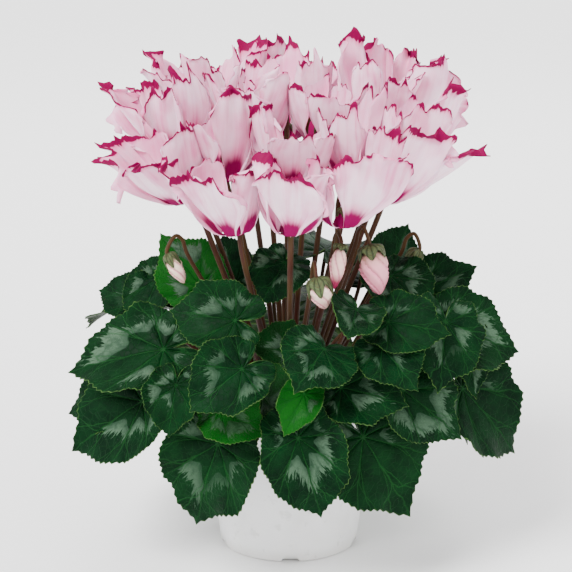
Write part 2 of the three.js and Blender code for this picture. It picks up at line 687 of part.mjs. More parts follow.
/** A piece that is already in place, with the box round it. */
const placed = (solid) => ({ solid, box: solid.boundingBox() });

/** Do two placed pieces share any space? */
function crosses(one, other) {
  const p = one.box;
  const q = other.box;
  for (let k = 0; k < 3; k++) if (p.max[k] < q.min[k] || q.max[k] < p.min[k]) return false;
  return one.solid.intersect(other.solid).volume() > 1e-6;
}

/** Is a piece clear of all of these? The one it last hit is tried first. */
function isClear(piece, others) {
  const hit = others.findIndex((other) => crosses(piece, other));
  if (hit > 0) others.unshift(...others.splice(hit, 1));
  return hit < 0;
}

const pot = potSolid();
const soil = soilSolid();
let stalks = tuberSolid(0);
const fixed = [placed(pot), placed(soil)];

const blooms = BLOOMS.map((bloom, i) => {
  const frame = bloomFrame(bloom);
  const stalk = tube(flowerStalkCurve(frame), FLOWER_STALK.radius, FLOWER_STALK.sides, 7);
  const cap = frame.nose.clone().addScaledVector(frame.a, NOSE.length + 0.3);
  stalks = stalks.add(stalk).add(calyxSolid(frame.a, cap, NOSE.neckRadius + 0.6, 3.2));
  const solid = bloomSolid(bloom, frame, bloomCell(BLOOMS, i), i + 1);
  fixed.push(placed(solid));
  return solid;
});

const buds = BUDS.map((bud) => {
  const way = vector(bud.neck).sub(vector(bud.tip)).normalize();
  const length = vector(bud.neck).distanceTo(vector(bud.tip));
  const cap = vector(bud.neck).addScaledVector(way, -0.25 * length + 0.3);
  stalks = stalks
    .add(tube(budStalkCurve(bud), 1.4, FLOWER_STALK.sides, 5))
    .add(calyxSolid(way, cap, bud.radius * 0.85, 0.25 * length));
  const solid = budSolid(bud);
  fixed.push(placed(solid));
  return solid;
});
const flowerStalks = [placed(stalks.subtract(tuberSolid(0.1)))];

/** The straightest stalk that reaches a leaf without touching any blade, or null. */
function freeStalk(leaf, blade, others) {
  const { radius, sides, steps } = LEAF_STALK;
  for (const route of ROUTES) {
    const curve = leafStalkCurve(leaf, route);
    if (!isClear(placed(tube(curve, radius + CLEARANCE / 2, sides, steps)), others)) continue;
    const stalk = tube(curve, radius, sides, steps);
    if (!crosses(placed(stalk), blade)) return stalk;
  }
  return null;
}

/** Does a blade rest on its partner, just deep enough to hold? */
function touches(blade, partner) {
  const shared = blade.solid.intersect(partner.solid).volume();
  if (shared < TOUCH.least || shared > TOUCH.most) return false;
  return blade.solid.add(partner.solid).decompose().length === 1;
}

/** Finds the nearest free place for a leaf and adds its blade and its stalk to the plant. */
function growLeaf(leaf) {
  const wide = bladeSolid(leaf, BLADE.thickness + 2 * CLEARANCE);
  const thin = bladeSolid(leaf, BLADE.thickness);
  const partner = leaf.on ? blades.get(leaf.on) : null;
  const near = [...fixed, ...flowerStalks, ...leafStalks, ...blades.values()];
  const around = near.filter((piece) => piece !== partner);
  const behind = [...fixed, ...blades.values()];
  for (const offset of SHIFTS) {
    if (!isClear(placed(wide.translate(offset)), around)) continue;
    const blade = placed(thin.translate(offset));
    if (partner && !touches(blade, partner)) continue;
    const stalk = freeStalk(shifted(leaf, offset), blade, behind);
    if (!stalk) continue;
    leafStalks.push(placed(stalk));
    blades.set(leaf.on ?? leaf.name, partner ? placed(partner.solid.add(blade.solid)) : blade);
    return offset;
  }
  throw new Error(`${leaf.name ?? leaf.on} finds no room`);
}

const SHIFTS = shifts();
const ROUTES = routes();
const blades = new Map();
const leafStalks = [];
[...LEAVES, ...rearLeaves()].forEach((row, i) =>
  growLeaf({ ...row, seed: i + 1, wave: 6.28 * chance(i + 71) }),
);
for (const stalk of leafStalks) stalks = stalks.add(stalk.solid);

addPiece("pot", pot, COLOUR.pot);
addPiece("soil", soil, COLOUR.soil);
addPiece("tuber_and_stalks", stalks.simplify(SIMPLER), COLOUR.stalk);
for (const [name, blade] of blades) addPiece(name, blade.solid, COLOUR.leaf);
blooms.forEach((bloom, i) => addPiece(`bloom_${String(i + 1).padStart(2, "0")}`, bloom, COLOUR.petal));
buds.forEach((bud, i) => addPiece(BUDS[i].name, bud, COLOUR.bud));

export default plant;
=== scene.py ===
"""A potted cyclamen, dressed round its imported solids.

A white plastic pot of dark soil holds a flat tuber. The tuber carries heart-shaped leaves with silver
bands and toothed edges, nodding blooms of five swept-up petals with frilled crimson edges, and hooked
buds. Shapes are worked out in millimetres and put into meshes in metres. +Z is up, the origin is the
middle of the pot's base and the plant's show side is -Y.
"""

import logging
import math
from dataclasses import dataclass, field
from enum import Enum
from itertools import product
from typing import Any, Sequence

import bpy
import numpy as np
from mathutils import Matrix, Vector


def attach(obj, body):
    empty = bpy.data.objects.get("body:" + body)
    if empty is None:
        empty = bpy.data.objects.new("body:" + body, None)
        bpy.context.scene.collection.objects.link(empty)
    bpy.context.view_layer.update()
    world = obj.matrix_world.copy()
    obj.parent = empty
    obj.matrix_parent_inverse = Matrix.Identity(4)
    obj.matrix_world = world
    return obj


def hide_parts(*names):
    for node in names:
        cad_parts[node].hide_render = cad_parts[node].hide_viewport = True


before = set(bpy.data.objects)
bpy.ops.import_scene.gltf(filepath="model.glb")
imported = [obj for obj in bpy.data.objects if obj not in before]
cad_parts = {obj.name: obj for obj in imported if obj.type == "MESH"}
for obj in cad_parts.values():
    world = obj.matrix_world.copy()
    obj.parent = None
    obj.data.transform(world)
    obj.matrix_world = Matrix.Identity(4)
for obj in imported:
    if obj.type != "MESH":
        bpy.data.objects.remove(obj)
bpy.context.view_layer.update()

Array = np.ndarray
Faces = list[Array]
Triple = tuple[float, float, float]
Socket = bpy.types.NodeSocket
LOG = logging.getLogger("cyclamen")
METRES = 0.001
UP = np.array([0.0, 0.0, 1.0])
FULL_TURN = 2 * math.pi

# A bud's petals form five folds, which wind on by 2.4 folds from its neck to its tip
BUD_FOLDS = 5.0
BUD_WIND = 2.4


def chance(n: Array | float) -> Array | float:
    """A repeatable number from 0 to 1 for a whole number n: the fraction of a large sine."""
    wave = np.sin(np.asarray(n, float) * 12.9898 + 4.1414) * 43758.5453
    return wave - np.floor(wave)


def unit(v: Array) -> Array:
    """Vectors of length 1 along the given ones."""
    return v / np.linalg.norm(v, axis=-1, keepdims=True)


def smooth(low: float, high: float, value: Array) -> Array:
    """A soft step from 0 at low to 1 at high: 3t squared minus 2t cubed."""
    t = np.clip((value - low) / (high - low), 0.0, 1.0)
    return t * t * (3 - 2 * t)


def turns(count: int) -> Array:
    """Evenly spaced angles round a circle."""
    return FULL_TURN * np.arange(count) / count


def circle(turn: Array, first: Array, second: Array) -> Array:
    """Directions at the given angles, from a first direction towards a second one that is square to it."""
    return np.cos(turn)[..., None] * first + np.sin(turn)[..., None] * second


def across_axis(axis: Array) -> tuple[Array, Array]:
    """Two directions square to an axis and to each other."""
    first = unit(np.cross(axis, [0.3, 1.0, 0.2]))
    return first, np.cross(axis, first)


def lumps(points: Array, size: float, seed: int) -> Array:
    """An uneven height from about -1 to 1 at each point.

    It is the mean of six sine waves that run in six directions, each about `size` long, times 1.6.

    Args:
        points: Places in millimetres, one a row.
        size: The usual width of a lump in millimetres.
        seed: A whole number that picks the waves' directions.

    Returns:
        One height a point.
    """
    keys = seed * 31 + np.arange(6)
    way = unit(np.stack([chance(keys) - 0.5, chance(keys + 50) - 0.5, chance(keys + 90) - 0.5], axis=1))
    wave = way * (FULL_TURN / size) * (0.7 + 0.8 * chance(keys + 130))[:, None]
    return np.sin(points @ wave.T + 6.28 * chance(keys + 170)).mean(axis=1) * 1.6


# Meshes


@dataclass
class Body:
    """Points, faces and marks of a piece. A mark is a value of three numbers at each point.

    Args:
        points: Places in millimetres.
        faces: Arrays of corner numbers, one array for each number of corners.
        spot: The place on the piece's own surface, which its pattern follows.
        look: Numbers that vary the finish.
    """

    points: Array
    faces: Faces
    spot: Array
    look: Array

    @staticmethod
    def joined(bodies: Sequence["Body"]) -> "Body":
        """Several bodies as one, each kept closed in itself.

        Args:
            bodies: The bodies.

        Returns:
            One body with all their points, faces and marks, in the same order.
        """
        starts = np.cumsum([0] + [len(body.points) for body in bodies[:-1]])
        faces = [part + start for body, start in zip(bodies, starts) for part in body.faces]
        points = np.concatenate([body.points for body in bodies])
        spot = np.concatenate([body.spot for body in bodies])
        look = np.concatenate([body.look for body in bodies])
        return Body(points, faces, spot, look)

    def make(self, name: str, material: bpy.types.Material) -> bpy.types.Object:
        """Puts the body into a smooth-shaded mesh object at the origin.

        Args:
            name: The piece's name.
            material: Its finish.

        Returns:
            The new object.
        """
        mesh = bpy.data.meshes.new(name)
        corners = [corner for part in self.faces for corner in part.tolist()]
        mesh.from_pydata((self.points * METRES).tolist(), [], corners)
        mesh.polygons.foreach_set("use_smooth", np.ones(len(mesh.polygons), bool))
        for mark in ("spot", "look"):
            values = getattr(self, mark).astype(np.float32)
            mesh.attributes.new(mark, "FLOAT_VECTOR", "POINT").data.foreach_set("vector", values.ravel())
        mesh.materials.append(material)
        mesh.update()
        made = bpy.data.objects.new(name, mesh)
        bpy.context.scene.collection.objects.link(made)
        return made


def point_normals(points: Array, faces: Faces) -> Array:
    """The mean normal at each point, each face counted by its area.

    A face's normal is the cross product of its diagonals, or of two sides of a triangle.

    Args:
        points: Places, one a row.
        faces: Arrays of corner numbers.

    Returns:
        One direction a point.
    """
    normals = np.zeros_like(points)
    for part in faces:
        far = part[:, 3] if part.shape[1] == 4 else part[:, 0]
        across = np.cross(points[part[:, 2]] - points[part[:, 0]], points[far] - points[part[:, 1]])
        for k in range(part.shape[1]):
            np.add.at(normals, part[:, k], across)
    return unit(normals + 1e-12)


def thicken(points: Array, faces: Faces, loop: Array, thickness: float, spot: Array, look: Array) -> Body:
    """A sheet made a closed shell: a copy of it on either side, joined round the edge.

    Args:
        points: The sheet's points.
        faces: Its faces, which look to its outer side.
        loop: The numbers of its edge's points, in the faces' own turning sense.
        thickness: The shell's thickness.
        spot: The sheet's spot marks.
        look: The sheet's look marks. The third number becomes 1 outside and 0 inside.

    Returns:
        The shell.
    """
    normals = point_normals(points, faces)
    under = len(points)
    after = np.roll(loop, -1)
    rim = np.stack([loop, loop + under, after + under, after], axis=1)
    sides = np.concatenate([points + normals * thickness / 2, points - normals * thickness / 2])
    looks = np.concatenate([look, look])
    looks[:under, 2], looks[under:, 2] = 1.0, 0.0
    turned = [part[:, ::-1] + under for part in faces]
    return Body(sides, [*faces, *turned, rim], np.concatenate([spot, spot]), looks)


def grid_faces(rows: int, columns: int, closed: bool) -> Array:
    """The four-cornered faces of a grid of points, row by row.

    Args:
        rows: The number of rows.
        columns: The number of points in each row.
        closed: Whether the last column is joined to the first.

    Returns:
        The corner numbers, one face a row.
    """
    j, i = np.meshgrid(np.arange(rows - 1), np.arange(columns if closed else columns - 1), indexing="ij")
    a, b = j * columns + i, j * columns + (i + 1) % columns
    return np.stack([a, b, b + columns, a + columns], axis=-1).reshape(-1, 4)


def grid_edge(rows: int, columns: int) -> Array:
    """The points round an open grid's edge.

    Args:
        rows: The number of rows.
        columns: The number of points in each row.

    Returns:
        Their numbers, in the turning sense of the grid's faces.
    """
    first = np.arange(columns)
    left = columns * np.arange(rows)
    right, last = left + columns - 1, left[-1] + first
    return np.concatenate([first[:-1], right[:-1], last[:0:-1], left[:0:-1]])


def end_fans(rows: int, sides: int) -> Faces:
    """The triangles that close a closed grid's first and last row.

    Args:
        rows: The number of rows.
        sides: The number of points in each row.

    Returns:
        A fan to each of the two points that follow the grid's own.
    """
    i = np.arange(sides)
    after, pole, last = (i + 1) % sides, rows * sides, (rows - 1) * sides
    first_fan = np.stack([np.full(sides, pole), after, i], axis=1)
    last_fan = np.stack([np.full(sides, pole + 1), i + last, after + last], axis=1)
    return [first_fan, last_fan]


def tube(path: Array, radii: Array, sides: int, side_way: Array, look: Array) -> Body:
    """A closed round tube along a path: a circle across the path at each of its points.

    Args:
        path: The points of its middle line.
        radii: The radius at each of them.
        sides: How many points each circle has.
        side_way: A direction that the path never runs along. It sets where each circle starts.
        look: The tube's look mark.

    Returns:
        The tube. Its spot mark is the turn round it, the distance along it and the radius.
    """
    way = unit(np.gradient(path, axis=0))
    first = unit(np.cross(side_way, way))
    second = np.cross(way, first)
    turn = turns(sides)
    skin = path[:, None] + circle(turn, first[:, None], second[:, None]) * radii[:, None, None]
    along = np.concatenate([[0.0], np.cumsum(np.linalg.norm(np.diff(path, axis=0), axis=1))])
    spot = np.stack(np.broadcast_arrays(turn[None] / FULL_TURN, along[:, None], radii[:, None]), axis=-1)
    points = np.concatenate([skin.reshape(-1, 3), path[:1], path[-1:]])
    spots = np.concatenate([spot.reshape(-1, 3), spot[0, :1], spot[-1, :1]])
    faces = [grid_faces(len(path), sides, True), *end_fans(len(path), sides)]
    return Body(points, faces, spots, np.tile(look, (len(points), 1)))


def revolve(radius: Array, height: Array, place: Array, way: Array, look: Array) -> Body:
    """A solid of revolution: rings of points about an axis, closed by a point at either end.

    Args:
        radius: Rows of radii, one column a step round. Every ring may be uneven.
        height: The heights along the axis, of the same shape.
        place: Where the axis starts.
        way: The axis.
        look: The look mark.

    Returns:
        The solid. Its spot mark is the share round it, the share along its outline and its radius.
    """
    rows, sides = radius.shape
    axis = unit(np.asarray(way, float))
    turn = turns(sides)
    skin = place + circle(turn, *across_axis(axis))[None] * radius[..., None] + height[..., None] * axis
    ends = place + np.outer([height[0].mean(), height[-1].mean()], axis)
    share = np.linspace(0, 1, rows)
    spot = np.stack(np.broadcast_arrays(turn[None] / FULL_TURN, share[:, None], radius), axis=-1)
    spots = np.concatenate([spot.reshape(-1, 3), [[0.0, 0.0, 0.0], [0.0, 1.0, 0.0]]])
    points = np.concatenate([skin.reshape(-1, 3), ends])
    faces = [grid_faces(rows, sides, True), *end_fans(rows, sides)]
    return Body(points, faces, spots, np.tile(look, (len(points), 1)))


def profile_line(corners: Sequence[tuple[float, float]], between: int) -> Array:
    """A profile's corners with evenly spaced points put in between each two.

    Args:
        corners: Radius and height of each corner.
        between: How many steps it takes from each to the next.

    Returns:
        The profile's points.
    """
    line = np.asarray(corners, float)
    share = np.arange(between) / between
    steps = line[:-1, None] + (line[1:] - line[:-1])[:, None] * share[None, :, None]
    return np.concatenate([steps.reshape(-1, 2), line[-1:]])


def smooth_line(points: Array, between: int) -> Array:
    """A smooth line through given points.

    Between two points it is a cubic whose slopes come from the neighbours, each weighed by the square
    root of its distance, so that it makes no loop where the points lie close together.

    Args:
        points: The points it passes through.
        between: How many steps it takes from each to the next.

    Returns:
        The line's points.
    """
    p = np.concatenate([[2 * points[0] - points[1]], points, [2 * points[-1] - points[-2]]])
    gap = np.sqrt(np.linalg.norm(np.diff(p, axis=0), axis=1))[:, None]
    g0, g1, g2 = gap[:-2], gap[1:-1], gap[2:]
    d0, d1, d2 = p[1:-2] - p[:-3], p[2:-1] - p[1:-2], p[3:] - p[2:-1]
    slope_in = (d0 / g0 - (d0 + d1) / (g0 + g1) + d1 / g1) * g1
    slope_out = (d1 / g1 - (d1 + d2) / (g1 + g2) + d2 / g2) * g1
    t = (np.arange(between) / between)[None, :, None]
    a, b, m, n = p[1:-2, None], p[2:-1, None], slope_in[:, None], slope_out[:, None]
    line = a + m * t + (3 * (b - a) - 2 * m - n) * t**2 + (m + n - 2 * (b - a)) * t**3
    return np.concatenate([line.reshape(-1, 3), points[-1:]])


# Finishes


def colour(code: str) -> tuple[float, float, float, float]:
    """A colour as a shader takes it.

    Args:
        code: Six hexadecimal digits, two for each of red, green and blue.

    Returns:
        Linear red, green and blue, and an alpha of 1.
    """
    parts = [int(code[k : k + 2], 16) / 255 for k in (0, 2, 4)]
    linear = [p / 12.92 if p <= 0.04045 else ((p + 0.055) / 1.055) ** 2.4 for p in parts]
    return (*linear, 1.0)


class Shade:
    """A material's node tree, written as short calls. Each call returns the socket of its result."""

    def __init__(self, name: str) -> None:
        """Starts a material with a plain shader."""
        self.material = bpy.data.materials.new(name)
        self.material.use_nodes = True
        self.tree = self.material.node_tree
        self.shader = self.tree.nodes["Principled BSDF"]

    def put(self, socket: Socket, value: Any) -> None:
        """Links an input to another socket, or sets it to a number or colour.

        Args:
            socket: The input.
            value: The other socket, the number or the colour.
        """
        if isinstance(value, Socket):
            self.tree.links.new(value, socket)
        else:
            socket.default_value = value

    def add(self, kind: str, inputs: Sequence[Any], **settings: Any) -> bpy.types.Node:
        """Adds a node.

        Args:
            kind: Its kind, by its name in Blender.
            inputs: What its inputs take, in order. None leaves one as it is.
            settings: Its settings by name.

        Returns:
            The node.
        """
        node = self.tree.nodes.new(kind)
        for key, value in settings.items():
            setattr(node, key, value)
        for socket, value in zip(node.inputs, inputs):
            if value is not None:
                self.put(socket, value)
        return node

    def math(self, operation: str, *values: Any) -> Socket:
        """One step of arithmetic."""
        return self.add("ShaderNodeMath", values, operation=operation).outputs[0]

    def times(self, first: Any, second: Any) -> Socket:
        """The product of two numbers."""
        return self.math("MULTIPLY", first, second)

    def plus(self, first: Any, second: Any) -> Socket:
        """The sum of two numbers."""
        return self.math("ADD", first, second)

    def less(self, first: Any, second: Any) -> Socket:
        """The first number less the second."""
        return self.math("SUBTRACT", first, second)

    def step(self, value: Any, low: Any, high: Any, start: Any = 0.0, end: Any = 1.0) -> Socket:
        """A soft step from start, where the value is low, to end, where it is high."""
        inputs = (value, low, high, start, end)
        return self.add("ShaderNodeMapRange", inputs, interpolation_type="SMOOTHSTEP").outputs[0]

    def mix(self, share: Any, first: Any, second: Any) -> Socket:
        """Two colours mixed.

        Args:
            share: How much of the second there is.
            first: The first colour.
            second: The second colour.

        Returns:
            The mixed colour.
        """
        node = self.add("ShaderNodeMix", (share,), data_type="RGBA")
        self.put(node.inputs[6], first)
        self.put(node.inputs[7], second)
        return node.outputs[2]

    def mark(self, name: str) -> tuple[Socket, ...]:
        """The three numbers of a mark."""
        node = self.add("ShaderNodeAttribute", (), attribute_name=name)
        return tuple(self.add("ShaderNodeSeparateXYZ", (node.outputs["Vector"],)).outputs)

    def join(self, x: Any, y: Any, z: Any) -> Socket:
        """Three numbers as one vector."""
        return self.add("ShaderNodeCombineXYZ", (x, y, z)).outputs[0]

    def place(self) -> Socket:
        """The place on the object, in metres."""
        return self.tree.nodes.new("ShaderNodeTexCoord").outputs["Object"]

    def noise(self, vector: Any, scale: float, detail: float = 2.0) -> Socket:
        """A cloudy pattern.

        Args:
            vector: The place in it.
            scale: How many clouds there are in a length of 1.
            detail: How many times it is laid over itself at half the size.

        Returns:
            A number from 0 to 1.
        """
        node = self.add("ShaderNodeTexNoise", ())
        for name, value in (("Vector", vector), ("Scale", scale), ("Detail", detail)):
            self.put(node.inputs[name], value)
        return node.outputs[0]

    def cells(self, vector: Any, scale: float) -> Socket:
        """A net of cells.

        Args:
            vector: The place in it.
            scale: How many cells there are in a length of 1.

        Returns:
            The distance to the nearest border.
        """
        node = self.add("ShaderNodeTexVoronoi", (), feature="DISTANCE_TO_EDGE")
        self.put(node.inputs["Vector"], vector)
        self.put(node.inputs["Scale"], scale)
        return node.outputs[0]

    def finish(
        self, base: Any, roughness: Any, height: Any, depth: float, **fixed: Any
    ) -> bpy.types.Material:
        """Fills the shader.

        Args:
            base: Its colour.
            roughness: Its roughness.
            height: The relief, from 0 to 1.
            depth: The relief's depth in metres.
            fixed: Other inputs by name, with underscores for spaces, set as plain numbers.

        Returns:
            The material.
        """
        self.put(self.shader.inputs["Base Color"], base)
        self.put(self.shader.inputs["Roughness"], roughness)
        bump = self.add("ShaderNodeBump", ())
        bump.inputs["Strength"].default_value = 0.8
        bump.inputs["Distance"].default_value = depth
        self.put(bump.inputs["Height"], height)
        self.put(self.shader.inputs["Normal"], bump.outputs[0])
        for key, value in fixed.items():
            self.shader.inputs[key.replace("_", " ")].default_value = value
        return self.material


@dataclass(frozen=True)
class VeinOrder:
    """An order of veins in a leaf.

    Args:
        start: Where it leaves the veins before it, as a share from stalk to edge.
        aside: How far it has spread from the main vein at the edge, in sectors.
        power: How clearly it shows.
        width: Its width as a share of the leaf's length.
    """

    start: float
    aside: float
    power: float
    width: float


@dataclass(frozen=True)
class LeafFinish:
    """A dark leaf with a broken silver band, forked pale veins, a fine pale edge and a pale underside.

    The spot mark is the place on the flat leaf as shares of its length, and the share from stalk to
    edge. The look mark is a chance number, how young the leaf is, and its side.
    """

    dark: str = "011608"
    middle: str = "03250e"
    silver: str = "425946"
    dull: str = "152d1e"
    vein: str = "18481f"
    edge: str = "56783a"
    young: str = "0e4a0e"
    under: str = "243c20"
    sectors: int = 9
    orders: tuple[VeinOrder, ...] = (
        VeinOrder(0.0, 0.0, 1.0, 0.011),
        VeinOrder(0.22, 0.27, 0.8, 0.007),
        VeinOrder(0.55, 0.42, 0.9, 0.006),
    )
    relief: float = 0.0008

    def material(self) -> bpy.types.Material:
        """Builds the leaf's material.

        Returns:
            The material.
        """
        s = Shade("leaf_finish")
        x, y, share = s.mark("spot")
        luck, youth, side = s.mark("look")
        shift = s.times(luck, 37.0)
        flat = s.join(x, y, shift)
        cloud = s.noise(flat, 5.0, 3.0)
        speck = s.noise(flat, 28.0, 3.0)
        reach = s.math("SQRT", s.plus(s.times(x, x), s.times(y, y)))
        turn = s.times(s.math("ARCTAN2", x, y), self.sectors / FULL_TURN)
        bent = s.plus(turn, s.times(s.less(cloud, 0.5), 0.25))
        aside = s.math("PINGPONG", bent, 0.5)
        span = s.times(reach, FULL_TURN / self.sectors)
        veins = self.vein_share(s, share, aside, span)
        net = s.step(s.cells(flat, 16.0), 0.0, 0.09, 1.0, 0.0)
        silvered, tone = self.silver_share(s, share, bent, aside, span, shift, luck)
        ground = s.mix(s.step(cloud, 0.3, 0.7), colour(self.dark), colour(self.middle))
        ground = s.mix(s.times(s.step(youth, 0.0, 1.0), 0.85), ground, colour(self.young))
        ground = s.mix(silvered, ground, s.mix(tone, colour(self.dull), colour(self.silver)))
        ground = s.mix(s.times(net, 0.1), ground, colour(self.vein))
        ground = s.mix(s.times(veins, 0.42), ground, colour(self.vein))
        thread = s.times(s.step(share, 0.986, 0.998), s.step(speck, 0.35, 0.6, 0.1, 0.65))
        ground = s.mix(thread, ground, colour(self.edge))
        back = s.mix(s.times(veins, 0.5), colour(self.under), colour(self.edge))
        base = s.mix(side, back, ground)
        pores = s.noise(flat, 90.0, 2.0)
        height = s.less(s.less(s.times(pores, 0.35), s.times(veins, 0.6)), s.times(net, 0.3))
        rough = s.step(speck, 0.2, 0.8, 0.38, 0.54)
        return s.finish(base, rough, height, self.relief, Specular_IOR_Level=0.04)

    def vein_share(self, s: Shade, share: Socket, aside: Socket, span: Socket) -> Socket:
        """Works out where the veins run.

        A main vein runs along the middle of each sector. The later orders leave it on both sides and
        spread from it towards the edge by a soft step.

        Args:
            s: The material's node tree.
            share: The share from stalk to edge.
            aside: How far off the nearest main vein is, in sectors.
            span: The breadth of one sector.

        Returns:
            How much of a vein there is, from 0 to 1.
        """
        veins: Any = 0.0
        for order in self.orders:
            grown = s.step(share, order.start, 1.02, 0.0, order.aside)
            gap = s.math("ABSOLUTE", s.less(aside, grown))
            line = s.step(s.times(gap, span), order.width * 0.35, order.width, 1.0, 0.0)
            if order.start:
                shown = s.step(share, order.start, order.start + 0.04)
            else:
                shown = s.step(share, 0.5, 1.0, 1.0, 0.5)
            veins = s.math("MAXIMUM", veins, s.times(line, s.times(shown, order.power)))
        return veins

    def silver_share(
        self, s: Shade, share: Socket, bent: Socket, aside: Socket, span: Socket, shift: Socket, luck: Socket
    ) -> tuple[Socket, Socket]:
        """Works out where the leaf is silver.

        Between each two main veins lies a patch of its own. Its inner edge is a smooth arc, its outer
        edge splinters along the leaf's rays into loose dashes, and some patches are missing.

        Args:
            s: The material's node tree.
            share: The share from stalk to edge.
            bent: The turn round the stalk, in sectors.
            aside: How far off the nearest main vein is, in sectors.
            span: The breadth of one sector.
            shift: The leaf's own offset into every noise.
            luck: The leaf's chance number.

        Returns:
            How much silver there is and how bright it is.
        """
        sector = s.times(s.math("FLOOR", bent), 0.73)
        near, deep, kept = (s.noise(s.join(sector, s.plus(shift, k), k), 1.0, 0.0) for k in (3.3, 7.6, 1.8))
        inner = s.plus(s.step(near, 0.3, 0.7, 0.24, 0.46), s.step(aside, 0.0, 0.46, 0.13, 0.0))
        ray = s.join(s.times(bent, 15.0), shift, s.times(share, 3.0))
        splinter = s.times(s.less(s.noise(ray, 1.0, 4.0), 0.5), 0.5)
        depth = s.plus(s.step(deep, 0.35, 0.65, 0.07, 0.28), s.times(aside, 0.14))
        outer = s.plus(s.plus(inner, depth), splinter)
        past_inner, past_outer = s.less(share, inner), s.less(share, outer)
        rising = s.step(past_inner, -0.012, 0.012)
        falling = s.step(past_outer, -0.02, 0.015, 1.0, 0.0)
        dash = s.noise(s.join(s.times(bent, 24.0), shift, s.times(share, 11.0)), 1.0, 2.0)
        near_outer = s.step(past_outer, 0.02, 0.16, 0.8, 0.0)
        falling = s.math("MAXIMUM", falling, s.times(s.step(dash, 0.6, 0.64), near_outer))
        open_vein = s.step(s.times(aside, span), 0.006, 0.014, 0.12, 1.0)
        amount = s.times(s.times(rising, falling), open_vein)
        amount = s.times(amount, s.step(kept, 0.41, 0.45, 0.0, 1.0))
        amount = s.times(amount, s.step(luck, 0.0, 1.0, 0.55, 1.0))
        mottle = s.noise(s.join(s.times(bent, 5.0), shift, s.times(share, 9.0)), 1.0, 4.0)
        tone = s.times(s.step(past_inner, 0.0, 0.2, 0.35, 1.0), s.step(mottle, 0.32, 0.55, 0.4, 1.0))
        return amount, tone


@dataclass(frozen=True)
class PetalFinish:
    """A pale petal, blushed along its folds, with a crimson blotch at its root and a crimson frilled edge. Its
    inner face is pinker, partly the petal's own blush and partly painted shade where the petals face each
    other.

    The spot mark is the place across and along the petal and the distance to its coloured edge in
    millimetres. The look mark is a chance number, the tube's share and the side.
    """

    pale: str = "fbdaea"
    blush: str = "dd76a8"
    halo: str = "d0107e"
    crimson: str = "76003e"
    blotch: str = "80004a"
    narrow_rim: float = 1.8
    wide_rim: float = 7.0
    relief: float = 0.0004

    def material(self) -> bpy.types.Material:
        """Builds the petal's material.

        Returns:
            The material.
        """
        s = Shade("petal_finish")
        u, v, edge = s.mark("spot")
        luck, nose, side = s.mark("look")
        shift = s.times(luck, 61.0)
        streak = s.noise(s.join(s.times(u, 9.0), s.times(v, 1.2), shift), 1.0, 3.0)
        cloud = s.noise(s.join(u, v, shift), 2.2, 2.0)
        blush = s.plus(s.step(streak, 0.42, 0.75, 0.0, 0.36), s.step(cloud, 0.38, 0.72, 0.0, 0.54))
        base = s.mix(blush, colour(self.pale), colour(self.blush))
        base = s.mix(s.step(edge, 1.5, 12.0, 0.3, 0.0), base, colour(self.blush))
        # The inner face is pinker: partly the petal's own blush and partly painted shade where the petals face
        # each other.
        base = s.mix(s.times(s.less(1.0, side), 0.4), base, colour(self.blush))
        base = self.with_blotch(s, base, u, v, streak)
        base = self.with_rim(s, base, u, v, edge, shift)
        base = s.mix(s.times(nose, 0.9), base, colour(self.blotch))
        fibre = s.noise(s.join(s.times(u, 60.0), s.times(v, 2.0), shift), 1.0, 2.0)
        height = s.plus(s.times(streak, 0.6), s.times(fibre, 0.4))
        rough = s.step(cloud, 0.3, 0.7, 0.5, 0.62)
        fixed = {"Subsurface_Weight": 0.12, "Subsurface_Scale": 0.002, "Specular_IOR_Level": 0.05}
        return s.finish(base, rough, height, self.relief, **fixed)

    def with_blotch(self, s: Shade, base: Socket, u: Socket, v: Socket, streak: Socket) -> Socket:
        """Lays the blotch over a colour.

        It reaches 0.27 of the way up the middle, less by half of u squared, and further in the streaks.

        Args:
            s: The material's node tree.
            base: The colour below it.
            u: The place across the petal.
            v: The place along it.
            streak: The streaks' noise.

        Returns:
            The new colour.
        """
        reach = s.plus(s.less(0.27, s.times(s.times(u, u), 0.5)), s.times(s.less(streak, 0.5), 0.12))
        past = s.less(v, reach)
        base = s.mix(s.step(past, -0.02, 0.15, 0.5, 0.0), base, colour(self.halo))
        return s.mix(s.step(past, -0.07, 0.04, 1.0, 0.0), base, colour(self.blotch))

    def with_rim(self, s: Shade, base: Socket, u: Socket, v: Socket, edge: Socket, shift: Socket) -> Socket:
        """Lays the crimson rim over a colour.

        Its width wanders between narrow and wide and shrinks to nothing towards the petal's sides. A
        brighter halo runs along it.

        Args:
            s: The material's node tree.
            base: The colour below it.
            u: The place across the petal.
            v: The place along it.
            edge: The distance to the coloured edge.
            shift: The petal's own offset into every noise.

        Returns:
            The new colour.
        """
        fringe = s.noise(s.join(s.times(u, 22.0), s.times(v, 3.0), shift), 1.0, 2.0)
        stretch = s.noise(s.join(s.times(u, 3.5), v, s.plus(shift, 9.0)), 1.0, 1.0)
        uneven = s.plus(s.times(fringe, 0.3), s.times(stretch, 0.7))
        width = s.step(uneven, 0.38, 0.58, self.narrow_rim, self.wide_rim)
        shoulder = s.step(s.math("ABSOLUTE", u), 0.5, 0.95)
        width = s.less(width, s.times(shoulder, s.plus(s.times(width, 0.7), 0.9)))
        beyond = s.less(edge, width)
        base = s.mix(s.step(beyond, -0.5, 4.5, 0.55, 0.0), base, colour(self.halo))
        return s.mix(s.step(beyond, -0.5, 0.6, 1.0, 0.0), base, colour(self.crimson))


